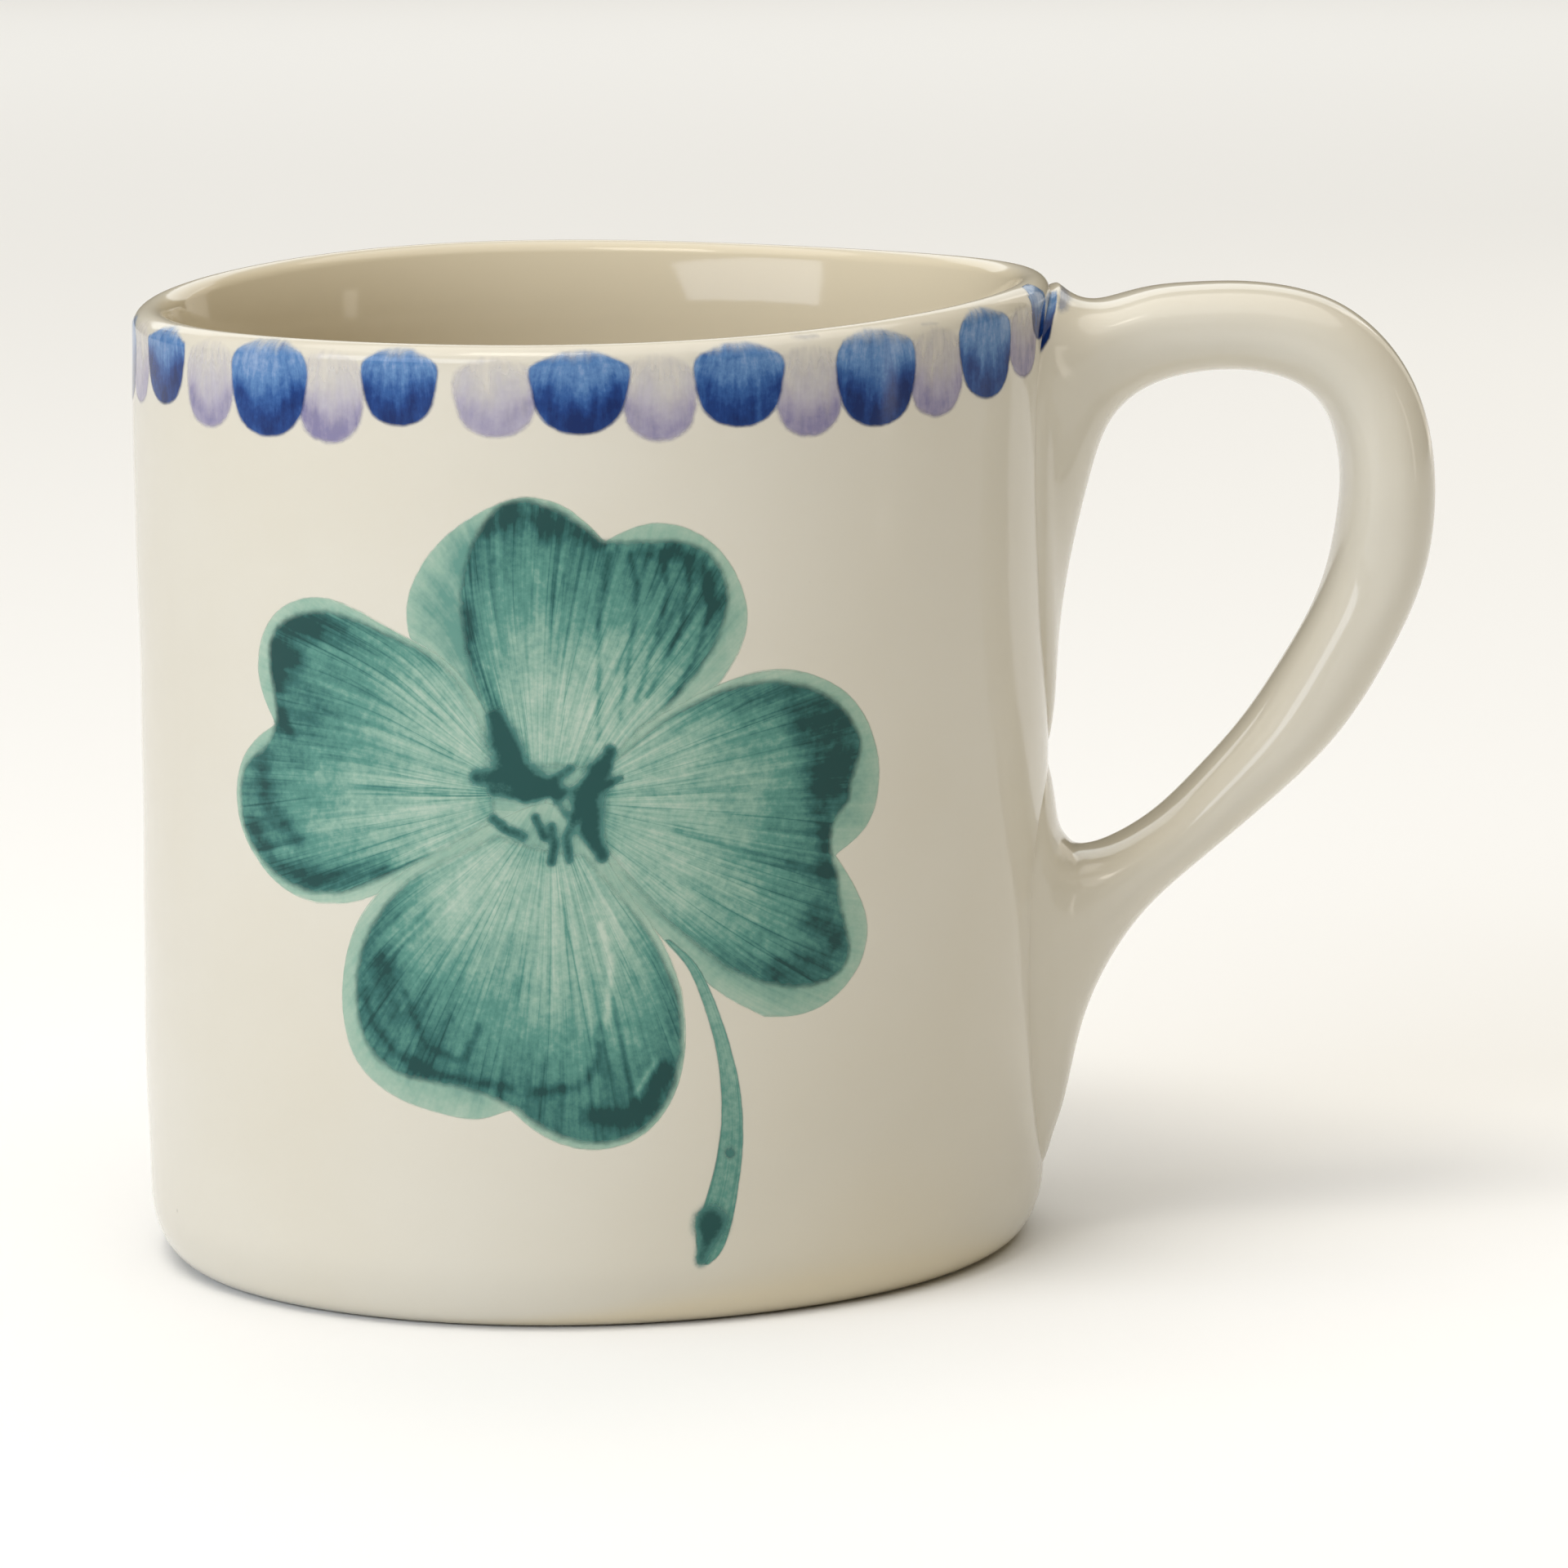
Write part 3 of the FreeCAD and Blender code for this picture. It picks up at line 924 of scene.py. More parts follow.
@dataclass
class Handle:
    """The pulled strap handle, with its clay smeared out on to the wall at both ends.

    Each station is a section: the point on the outside of the loop (x, height), the point across
    from it on the inside, half the width, and how much wider the section is on its outer side.
    Next to the wall a section is a curve round the wall; further out it crosses the strap.
    """

    wall: Wall
    glaze: bpy.types.Material
    stations: tuple[tuple[float, ...], ...] = (
        (44.6, 96.0, 44.6, 48.0, 14.2, 0.45),
        (45.7, 96.6, 45.7, 50.0, 13.4, 0.45),
        (46.5, 97.0, 46.4, 53.0, 12.4, 0.45),
        (47.2, 97.0, 47.0, 61.0, 11.2, 0.45),
        (48.4, 96.2, 48.4, 70.4, 10.0, 0.42),
        (50.2, 95.7, 50.1, 77.6, 9.1, 0.35),
        (52.5, 95.8, 52.0, 83.0, 8.5, 0.25),
        (56.0, 96.6, 55.0, 86.2, 8.0, 0.12),
        (60.4, 97.1, 59.2, 88.0, 7.6, 0.03),
        (65.4, 97.2, 64.0, 88.5, 7.5, 0.0),
        (70.6, 96.6, 68.2, 87.9, 7.5, 0.0),
        (75.5, 95.0, 71.5, 86.6, 7.5, 0.0),
        (79.8, 91.7, 73.9, 84.3, 7.5, 0.0),
        (82.8, 87.1, 75.2, 81.0, 7.5, 0.0),
        (84.6, 81.0, 75.7, 77.0, 7.5, 0.0),
        (85.1, 74.4, 75.4, 72.8, 7.5, 0.0),
        (84.2, 68.0, 74.2, 67.8, 7.5, 0.0),
        (81.8, 61.7, 72.0, 62.5, 7.5, 0.0),
        (78.1, 55.2, 68.8, 56.8, 7.5, 0.0),
        (73.1, 49.0, 64.7, 51.1, 7.6, 0.0),
        (67.0, 43.2, 60.0, 46.0, 7.7, 0.0),
        (60.6, 37.9, 55.9, 42.5, 7.9, 0.0),
        (55.4, 32.9, 52.4, 40.3, 8.3, -0.06),
        (51.9, 27.8, 50.3, 39.7, 9.0, -0.15),
        (49.8, 23.0, 48.9, 39.9, 9.8, -0.25),
        (48.5, 17.8, 47.8, 40.9, 10.7, -0.34),
        (47.5, 13.2, 47.0, 42.7, 11.5, -0.40),
        (46.4, 9.8, 46.5, 46.0, 12.5, -0.40),
        (45.4, 7.0, 45.6, 49.5, 13.6, -0.40),
        (44.2, 5.2, 44.4, 51.5, 14.4, -0.40),
    )
    station_samples: int = 1200
    rows: int = 300
    columns: int = 112
    squareness: float = 2.35
    root_reach: float = 35.0
    crest: float = 10.0

    def surface(self, along: np.ndarray, turn: np.ndarray, lift: float = 0.0) -> np.ndarray:
        """Places on the strap.

        With c and s a superellipse's cosine and sine of turn, a place is the section's centre,
        plus c half-depths towards the outside, plus s half-widths sideways along the wall's
        curve, carried out to the place's own distance from the axis.

        Args:
            along: 0 at the upper root to 1 at the lower.
            turn: angle round the section, 0 on the outside of the loop.
            lift: distance out from the surface.

        Returns:
            (..., 3) places.
        """
        dense = spline(np.array(self.stations), self.station_samples)
        share = np.linspace(0.0, 1.0, len(dense))
        outer_x, outer_z, inner_x, inner_z, width, lean = (
            np.interp(along, share, column) for column in dense.T
        )
        power = 2.0 / self.squareness
        deep = np.sign(np.cos(turn)) * np.abs(np.cos(turn)) ** power
        side = np.sign(np.sin(turn)) * np.abs(np.sin(turn)) ** power
        sway = 0.16 * np.sin(along * 31.0) + 0.10 * np.sin(along * 57.0 + 2.0 + turn)
        depth = np.hypot(outer_x - inner_x, outer_z - inner_z) / 2.0
        grow = 1.0 + (lift + 0.5 * sway) / depth
        x = (outer_x + inner_x) / 2.0 + (outer_x - inner_x) / 2.0 * deep * grow
        z = (outer_z + inner_z) / 2.0 + (outer_z - inner_z) / 2.0 * deep * grow
        swing = (width + lift + sway) * side * (1.0 + lean * np.cos(turn)) / x
        return np.stack([x * np.cos(swing), x * np.sin(swing), z], axis=-1)

    def place(self, out: np.ndarray, round_strap: np.ndarray, lift: float) -> np.ndarray:
        """A place of the painting near the upper root.

        Args:
            out: distance out from the wall along the top of the strap.
            round_strap: distance round the strap, negative towards the front.
            lift: distance out from the surface.

        Returns:
            (..., 3) places.
        """
        along = np.clip(out / self.root_reach, 0.0, 1.0)
        return self.surface(along, round_strap / self.crest, lift)

    def build(self) -> None:
        """Sweeps the section and closes both ends, which lie inside the wall."""
        along = np.repeat(np.linspace(0.0, 1.0, self.rows)[:, None], self.columns, axis=1)
        turn = np.linspace(0.0, 2.0 * math.pi, self.columns, endpoint=False)[None, :]
        skin = self.surface(along, np.repeat(turn, self.rows, axis=0))
        poles = np.stack([skin[0].mean(axis=0), skin[-1].mean(axis=0)])
        count = self.rows * self.columns
        first = np.arange(self.columns)
        faces = [
            quads(self.rows, self.columns, closed=True)[:, ::-1],
            fans(first, count, flip=False),
            fans(first + count - self.columns, count + 1, flip=True),
        ]
        points = np.concatenate([skin.reshape(-1, 3), poles])
        piece = make_piece("glazed_handle", points, faces, [False] * 3)
        nodes = ["handle_loop", "upper_handle_joint", "lower_handle_joint", "handle_glaze"]
        dress(piece, self.glaze, nodes)


# --- the painting -------------------------------------------------------------------------------
@dataclass(frozen=True)
class Dab:
    """Stain left standing along a line: a ridge of width about the line, strength at its crest."""

    line: Points
    width: float
    strength: float = 1.0

    def height(self, where: np.ndarray) -> np.ndarray:
        """strength * exp(-(distance / width)^2) from the line's nearest part.

        Args:
            where: (..., 2) places.

        Returns:
            (...,) heights.
        """
        ends = np.array(self.line, float)
        if len(ends) == 1:
            ends = np.concatenate([ends, ends])
        start = ends[:-1]
        way = ends[1:] - start
        reach = where[..., None, :] - start
        size = np.maximum((way**2).sum(-1), 1e-9)
        share = np.clip((reach * way).sum(-1) / size, 0.0, 1.0)
        gap = np.linalg.norm(reach - share[..., None] * way, axis=-1).min(axis=-1)
        return self.strength * np.exp(-((gap / self.width) ** 2))


@dataclass(frozen=True)
class Patch:
    """An outline of the painting, spread between two sides, the edge the brush began at and the
    edge it ended at. Each is a spline in distance round the wall and height, and the end may be
    several that meet at corners."""

    left: Points
    right: Points
    start: Points
    end: Sequence[Points]

    def grid(self, along: np.ndarray, across: np.ndarray) -> np.ndarray:
        """Places between the four edges: the two ruled sheets' sum, less the bilinear corners.

        Args:
            along: 0 at the start to 1 at the end.
            across: 0 on the left to 1 on the right, the same shape.

        Returns:
            (..., 2) places.
        """
        share = np.linspace(0.0, 1.0, EDGE_SAMPLES)
        edges = ([self.left], [self.right], [self.start], self.end)
        left, right, start, end = (run(edge, EDGE_SAMPLES) for edge in edges)

        def on(edge: np.ndarray, place: np.ndarray) -> np.ndarray:
            """The edge's point at place, from 0 to 1."""
            return np.stack([np.interp(place, share, column) for column in edge.T], axis=-1)

        u = along[..., None]
        v = across[..., None]
        ruled = (1 - v) * on(left, along) + v * on(right, along)
        other = (1 - u) * on(start, across) + u * on(end, across)
        near = (1 - v) * start[0] + v * start[-1]
        far = (1 - v) * end[0] + v * end[-1]
        return ruled + other - (1 - u) * near - u * far


@dataclass
class Film:
    """A film of stain on the wall, closed: its back lies under the glaze."""

    places: np.ndarray
    along: np.ndarray
    across: np.ndarray
    dabs: Sequence[Dab] = ()
    shift: float = 0.0

    def edge_distance(self) -> np.ndarray:
        """Distance from each point to the film's outline."""
        p = self.places
        outline = np.concatenate([p[0], p[:, -1], p[-1, ::-1], p[::-1, 0]])
        flat = p.reshape(-1, 1, 2)
        gaps = [
            np.sqrt(((flat - part[None]) ** 2).sum(-1)).min(axis=1)
            for part in np.array_split(outline, 8)
        ]
        return np.min(gaps, axis=0)

    def mesh(self, chart: Chart, lift: float, first: int) -> tuple[np.ndarray, ...]:
        """Points, faces and numbers of the closed film.

        Args:
            chart: gives the surface's points from the two distances and the lift.
            lift: how far its front stands off the glaze.
            first: number of its first point.

        Returns:
            points, front and back faces, side faces, brush coordinates, then the along, edge
            and pool layers.
        """
        along, across, places = self.along, self.across, self.places
        du = np.diff(places, axis=0)[:, :-1]
        dv = np.diff(places, axis=1)[:-1]
        backwards = (dv[..., 0] * du[..., 1] - dv[..., 1] * du[..., 0]).sum() < 0
        rows, columns = places.shape[:2]
        front = chart(places[..., 0], places[..., 1], lift).reshape(-1, 3)
        back = chart(places[..., 0], places[..., 1], FILM_BACK).reshape(-1, 3)
        count = rows * columns
        numbers = np.arange(count).reshape(rows, columns)
        loop = np.concatenate(
            [numbers[0, :-1], numbers[:-1, -1], numbers[-1, :0:-1], numbers[:0:-1, 0]]
        )
        ahead = np.roll(loop, -1)
        cells = quads(rows, columns)
        sides = np.stack([ahead, loop, loop + count, ahead + count], axis=-1)
        sheets = np.concatenate([cells, cells[:, ::-1] + count])
        if backwards:
            sheets = sheets[:, ::-1]
            sides = sides[:, ::-1]
        pool = sum(dab.height(places) for dab in self.dabs) + np.zeros_like(along)
        brush = np.stack([across + self.shift, along], axis=-1).reshape(-1, 2)
        layers = [along.ravel(), self.edge_distance(), pool.ravel()]
        doubled = [np.concatenate([layer, layer]) for layer in layers]
        points = np.concatenate([front, back])
        return (points, sheets + first, sides + first, np.concatenate([brush, brush]), *doubled)


@dataclass
class Painting:
    """One colour of the painting as one piece, made of one or more films.

    node is the CAD node that it stands for, or empty where the CAD has none.
    """

    name: str
    node: str
    slot: Slot
    lift: float
    films: Sequence[Film]

    def build(self, chart: Chart, material: bpy.types.Material) -> None:
        """Joins the films' meshes and dresses the piece."""
        parts = []
        first = 0
        for film in self.films:
            parts.append(film.mesh(chart, self.lift, first))
            first += len(parts[-1][0])
        columns = [np.concatenate(column) for column in zip(*parts)]
        points, sheets, sides, brush, along, edge, pool = columns
        layers = {"along": along, "edge": edge, "pool": pool}
        piece = make_piece(self.name, points, [sheets, sides], [False, True], brush, layers)
        piece.visible_shadow = False
        dress(piece, material, [self.node] if self.node else [])


def spread(rows: int, columns: int) -> tuple[np.ndarray, np.ndarray]:
    """Even numbers from 0 to 1 down the rows, and the same across the columns."""
    u, v = np.meshgrid(np.linspace(0, 1, rows), np.linspace(0, 1, columns), indexing="ij")
    return u, v


def bled_film(
    outline: Patch, grid: tuple[int, int], bleed: float, dabs: Sequence[Dab], shift: float
) -> Film:
    """A film whose outline has run outwards a little.

    Args:
        outline: where the brush went.
        grid: how many points lie along and across the film.
        bleed: how many times larger it became, about its middle.
        dabs: where stain was left standing.
        shift: moves the brush's pattern, so that films differ.

    Returns:
        The film.
    """
    along, across = spread(*grid)
    places = outline.grid(along, across)
    middle = places.mean(axis=(0, 1))
    return Film(middle + (places - middle) * bleed, along, across, dabs, shift)


@dataclass(frozen=True)
class Leaf:
    """One heart-shaped leaf: a pale wash, and darker strokes that stop short of its edge."""

    name: str
    wash: Patch
    strokes: Patch
    dabs: tuple[Dab, ...]
    seed: float
    wash_dabs: tuple[Dab, ...] = ()
    bleed: float = 1.012
    brush_bleed: float = 1.035

    def wash_film(self) -> Film:
        """The wash."""
        return bled_film(self.wash, WASH_GRID, self.bleed, self.wash_dabs, self.seed)

    def stroke_film(self) -> Film:
        """The strokes."""
        return bled_film(self.strokes, STROKE_GRID, self.brush_bleed, self.dabs, self.seed + 0.5)


TOP_LEAF = Leaf(
    "top",
    wash=Patch(
        left=[(-9.2, 53.6), (-11.6, 60.0), (-13.4, 64.0), (-15.4, 65.8), (-17.8, 67.0)],
        right=[(1.6, 53.6), (5.0, 57.6), (8.4, 60.4), (11.4, 62.4)],
        start=[(-9.2, 53.6), (-4.0, 51.0), (1.6, 53.6)],
        end=[
            [
                (-17.6, 67.3), (-18.0, 70.0), (-16.5, 74.5), (-14.0, 77.5), (-10.5, 79.9),
                (-6.5, 81.3), (-2.8, 80.5), (1.0, 77.2),
            ],
            [
                (1.0, 77.2), (5.0, 78.8), (9.0, 78.2), (12.0, 76.0), (13.8, 73.0), (14.5, 70.0),
                (13.8, 66.8), (11.2, 62.9),
            ],
        ],
    ),
    strokes=Patch(
        left=[(-8.4, 54.2), (-10.4, 60.0), (-12.4, 66.0), (-13.0, 71.5)],
        right=[(0.8, 54.6), (4.0, 58.4), (8.0, 61.8), (11.3, 66.0)],
        start=[(-8.4, 54.2), (-4.0, 55.2), (0.8, 54.6)],
        end=[
            [
                (-13.0, 71.5), (-12.2, 75.0), (-10.7, 78.2), (-8.8, 80.2), (-6.0, 80.7),
                (-2.6, 79.5), (1.0, 77.0),
            ],
            [
                (1.0, 77.0), (5.0, 76.9), (8.6, 76.7), (11.2, 75.2), (12.7, 72.2), (12.6, 69.2),
                (11.3, 66.0),
            ],
        ],
    ),
    dabs=(
        Dab([(-10.4, 78.4), (-8.0, 79.6), (-5.0, 79.2), (-4.0, 78.0)], 1.4, 0.75),
        Dab([(-3.0, 78.4), (0.4, 76.8)], 0.8, 0.6),
        Dab([(-12.2, 70.0), (-11.6, 66.0), (-9.4, 60.5), (-7.6, 56.0)], 0.9, 0.7),
        Dab([(0.3, 58.0), (0.4, 70.0), (1.5, 75.5)], 0.30, 0.45),
        Dab([(2.3, 60.0), (3.6, 68.0), (4.1, 72.0), (3.5, 75.5)], 0.28, 0.45),
        Dab([(3.8, 61.5), (6.0, 68.0), (7.0, 72.0), (6.5, 75.5)], 0.28, 0.45),
        Dab([(5.0, 62.0), (8.0, 68.0), (9.0, 72.0), (9.0, 75.0)], 0.30, 0.5),
        Dab([(6.8, 60.5), (9.7, 66.0), (11.0, 70.0), (10.5, 75.0)], 0.35, 0.5),
        Dab([(5.0, 75.6), (8.0, 75.6), (10.6, 73.6), (11.4, 70.6)], 0.8, 0.5),
    ),
    seed=1.0,
    wash_dabs=(
        Dab([(-12.6, 78.0), (-15.0, 73.5), (-14.6, 69.0), (-12.0, 62.0)], 2.6, 0.22),
        Dab([(-11.6, 77.0), (-13.2, 72.0), (-12.6, 66.0), (-10.0, 58.0)], 1.3, 0.24),
    ),
)

LEFT_LEAF = Leaf(
    "left",
    wash=Patch(
        left=[(-7.6, 55.6), (-10.8, 61.2), (-14.0, 65.1), (-18.0, 67.3), (-22.5, 69.3)],
        right=[(-8.0, 49.4), (-14.5, 46.2), (-19.5, 43.6), (-24.0, 41.6), (-28.5, 41.1)],
        start=[(-7.6, 55.6), (-4.8, 52.0), (-8.0, 49.4)],
        end=[
            [
                (-22.5, 69.3), (-27.0, 70.6), (-30.5, 70.2), (-33.6, 68.5), (-35.7, 65.3),
                (-35.8, 61.9), (-33.7, 58.0),
            ],
            [
                (-33.7, 58.0), (-35.9, 56.7), (-38.6, 53.9), (-39.5, 50.5), (-38.8, 47.5),
                (-36.4, 44.5), (-32.5, 42.0), (-28.5, 41.1),
            ],
        ],
    ),
    strokes=Patch(
        left=[(-9.2, 56.0), (-11.6, 61.0), (-14.2, 64.7), (-18.0, 66.9), (-21.5, 68.2)],
        right=[(-9.4, 50.4), (-14.5, 47.1), (-19.0, 44.8), (-23.0, 43.0)],
        start=[(-9.2, 56.0), (-9.8, 53.4), (-9.4, 50.4)],
        end=[
            [
                (-21.5, 68.2), (-25.5, 69.3), (-29.4, 69.2), (-32.4, 68.0), (-34.4, 65.2),
                (-34.2, 62.0), (-33.6, 58.6),
            ],
            [
                (-33.6, 58.6), (-34.6, 56.4), (-37.4, 54.4), (-38.8, 51.0), (-38.2, 47.4),
                (-35.6, 44.4), (-31.4, 42.4), (-27.0, 42.0), (-23.0, 43.0),
            ],
        ],
    ),
    dabs=(
        Dab([(-33.6, 62.0), (-33.4, 65.6), (-31.4, 67.6), (-28.8, 67.8)], 1.3, 0.8),
        Dab([(-33.2, 64.2), (-31.0, 64.6)], 1.1, 0.6),
        Dab([(-33.0, 59.0), (-31.6, 57.0)], 0.8, 0.5),
        Dab([(-37.0, 47.6), (-33.6, 44.2), (-28.0, 43.2), (-21.0, 45.0)], 0.9, 0.5),
        Dab([(-35.6, 54.0), (-35.0, 50.0), (-31.0, 47.0)], 1.1, 0.45),
    ),
    seed=2.0,
)

RIGHT_LEAF = Leaf(
    "right",
    wash=Patch(
        left=[(-0.6, 55.2), (3.6, 58.6), (8.0, 61.2), (11.5, 62.8), (14.5, 63.7)],
        right=[(-0.8, 47.4), (2.8, 42.6), (6.6, 38.2), (11.5, 33.4), (16.5, 30.5)],
        start=[(-0.6, 55.2), (-3.4, 51.6), (-0.8, 47.4)],
        end=[
            [
                (14.5, 63.7), (18.5, 63.9), (22.0, 63.0), (26.0, 60.5), (28.4, 56.8), (29.2, 53.0),
                (28.0, 48.4), (24.2, 45.6),
            ],
            [
                (24.2, 45.6), (26.8, 41.8), (28.1, 38.0), (27.3, 34.7), (24.7, 31.9), (21.0, 30.4),
                (16.5, 30.5),
            ],
        ],
    ),
    strokes=Patch(
        left=[(0.8, 55.2), (4.2, 58.2), (8.0, 60.7), (12.0, 62.5)],
        right=[(0.6, 47.6), (3.8, 43.4), (7.6, 39.4), (12.0, 35.8)],
        start=[(0.8, 55.2), (0.4, 51.4), (0.6, 47.6)],
        end=[
            [
                (12.0, 62.5), (17.0, 63.0), (20.6, 62.3), (24.0, 60.5), (26.3, 57.8), (26.9, 55.2),
                (25.9, 52.4), (25.5, 50.4), (24.2, 49.0), (23.8, 46.2),
            ],
            [
                (23.8, 46.2), (24.6, 43.2), (25.0, 40.6), (25.9, 37.8), (25.5, 34.8), (23.0, 33.3),
                (19.6, 33.1), (15.6, 34.0), (12.0, 35.8),
            ],
        ],
    ),
    dabs=(
        Dab([(23.2, 58.6), (24.6, 56.4), (24.0, 52.4)], 2.2, 0.9),
        Dab([(20.0, 60.0), (21.6, 56.0), (22.0, 50.4)], 1.5, 0.5),
        Dab([(23.0, 48.5), (23.2, 44.0)], 0.9, 0.8),
        Dab([(21.6, 39.6), (24.4, 37.6), (23.0, 35.4), (18.0, 34.8)], 1.4, 0.5),
    ),
    seed=3.0,
)

BOTTOM_LEAF = Leaf(
    "bottom",
    wash=Patch(
        left=[(-9.0, 50.4), (-14.0, 47.8), (-18.4, 45.2), (-20.8, 43.4)],
        right=[(0.4, 47.4), (3.2, 43.0), (5.4, 39.8), (7.0, 36.8), (8.0, 34.0)],
        start=[(-9.0, 50.4), (-4.4, 51.8), (0.4, 47.4)],
        end=[
            [
                (-20.6, 43.2), (-23.4, 39.9), (-25.2, 35.5), (-25.6, 30.5), (-24.0, 25.8),
                (-20.5, 23.0), (-15.0, 21.3), (-11.6, 21.0), (-8.6, 22.0),
            ],
            [
                (-8.6, 22.0), (-5.6, 19.6), (-1.6, 18.2), (2.2, 18.5), (5.2, 20.2), (7.6, 23.9),
                (8.5, 29.0), (8.0, 34.0),
            ],
        ],
    ),
    strokes=Patch(
        left=[(-9.4, 48.8), (-14.0, 46.6), (-18.0, 44.4), (-21.0, 41.6)],
        right=[(-1.0, 47.0), (2.4, 42.8), (5.0, 39.4), (7.8, 33.4)],
        start=[(-9.4, 48.8), (-5.0, 47.6), (-1.0, 47.0)],
        end=[
            [
                (-21.0, 41.6), (-23.4, 37.6), (-24.3, 32.8), (-23.4, 28.4), (-20.8, 25.6),
                (-17.0, 24.5), (-12.6, 23.8), (-8.4, 22.3),
            ],
            [
                (-8.4, 22.3), (-5.4, 20.2), (-1.4, 18.9), (2.2, 19.2), (5.2, 20.9), (7.4, 24.4),
                (8.2, 29.0), (7.8, 33.4),
            ],
        ],
    ),
    dabs=(
        Dab([(-1.0, 21.6), (2.6, 21.2), (5.2, 22.6), (6.4, 25.6)], 0.9, 0.9),
        Dab([(-23.4, 33.0), (-22.4, 29.5), (-20.0, 27.0), (-16.0, 25.2), (-8.5, 24.2)], 0.5, 0.5),
        Dab([(-21.4, 36.0), (-20.0, 31.4)], 1.6, 0.4),
        Dab([(-19.0, 33.0), (-17.0, 28.0), (-13.4, 26.6), (-11.6, 30.0)], 0.4, 0.4),
        Dab([(-6.2, 23.8), (-2.0, 24.3), (-0.2, 26.2), (0.3, 30.0)], 0.5, 0.55),
        Dab([(5.6, 26.6), (3.6, 23.6)], 0.35, -0.5),
        Dab([(0.3, 40.0), (1.3, 36.0), (1.0, 32.0), (0.3, 29.0)], 0.4, -0.5),
    ),
    seed=4.0,
)

STEM = Patch(
    left=[
        (6.3, 38.5), (8.5, 35.8), (10.2, 32.0), (11.4, 28.0), (12.0, 24.0), (12.0, 19.0),
        (11.2, 14.8), (10.0, 11.0), (9.6, 8.4), (10.5, 6.2),
    ],
    right=[
        (7.0, 38.6), (9.4, 36.4), (11.6, 32.4), (13.2, 28.0), (14.4, 23.0), (14.7, 18.0),
        (14.2, 13.0), (13.4, 9.4), (12.0, 6.8), (11.0, 6.1),
    ],
    start=[(6.3, 38.5), (6.6, 38.6), (7.0, 38.6)],
    end=[[(10.5, 6.2), (10.8, 6.1), (11.0, 6.1)]],
)

CENTRE_DABS = (
    Dab([(-9.6, 60.4), (-8.7, 57.8), (-7.6, 55.4), (-6.4, 53.6)], 0.9, 1.0),
    Dab([(-11.4, 54.2), (-8.6, 54.4), (-5.6, 53.2)], 0.8, 0.9),
    Dab([(-9.0, 57.4), (-8.0, 55.4), (-6.0, 53.8)], 1.8, 0.85),
    Dab([(-4.6, 53.4), (-2.4, 52.9), (-0.8, 53.4)], 0.7, 0.7),
    Dab([(-9.8, 53.0), (-6.8, 52.6)], 0.6, 0.8),
    Dab([(-5.2, 53.4), (-3.6, 52.6)], 0.5, 0.8),
    Dab([(1.4, 56.8), (0.4, 54.8), (-0.6, 53.2), (-1.6, 51.8)], 0.7, 0.95),
    Dab([(0.2, 54.8), (-0.2, 52.2), (-0.6, 49.6)], 1.4, 0.72),
    Dab([(2.4, 54.2), (0.4, 53.4)], 0.4, 0.7),
    Dab([(-0.8, 51.2), (-0.6, 49.2), (0.6, 46.8)], 0.8, 0.95),
    Dab([(-2.0, 50.6), (-2.8, 48.6), (-2.6, 46.4)], 0.5, 0.85),
    Dab([(-4.2, 49.6), (-4.0, 47.6), (-4.3, 46.2)], 0.5, 0.85),
    Dab([(-5.8, 50.4), (-5.0, 48.6)], 0.5, 0.8),
    Dab([(-9.8, 50.2), (-8.4, 49.2), (-7.0, 48.6)], 0.6, 0.9),
    Dab([(-3.9, 54.0), (-2.4, 55.2)], 0.5, 0.7),
    Dab([(-3.6, 51.8), (-2.8, 50.8)], 0.5, 0.5),
)

STEM_DABS = (
    Dab([(11.3, 10.3)], 1.6, 1.3),
    Dab([(11.0, 9.4), (10.3, 6.8)], 0.8, 0.7),
    Dab([(13.2, 17.2)], 0.7, 0.7),
)


def oval_patch(centre: tuple[float, float], size: tuple[float, float]) -> Patch:
    """A rounded square patch for dabs to lie on.

    Args:
        centre: distance round the wall and height of its middle.
        size: half-width and half-height.

    Returns:
        The patch.
    """
    s, z = centre
    w, h = size
    k = 0.8
    return Patch(
        left=[(s - w * k, z - h * k), (s - w, z), (s - w * k, z + h * k)],
        right=[(s + w * k, z - h * k), (s + w, z), (s + w * k, z + h * k)],
        start=[(s - w * k, z - h * k), (s, z - h), (s + w * k, z - h * k)],
        end=[[(s - w * k, z + h * k), (s, z + h), (s + w * k, z + h * k)]],
    )


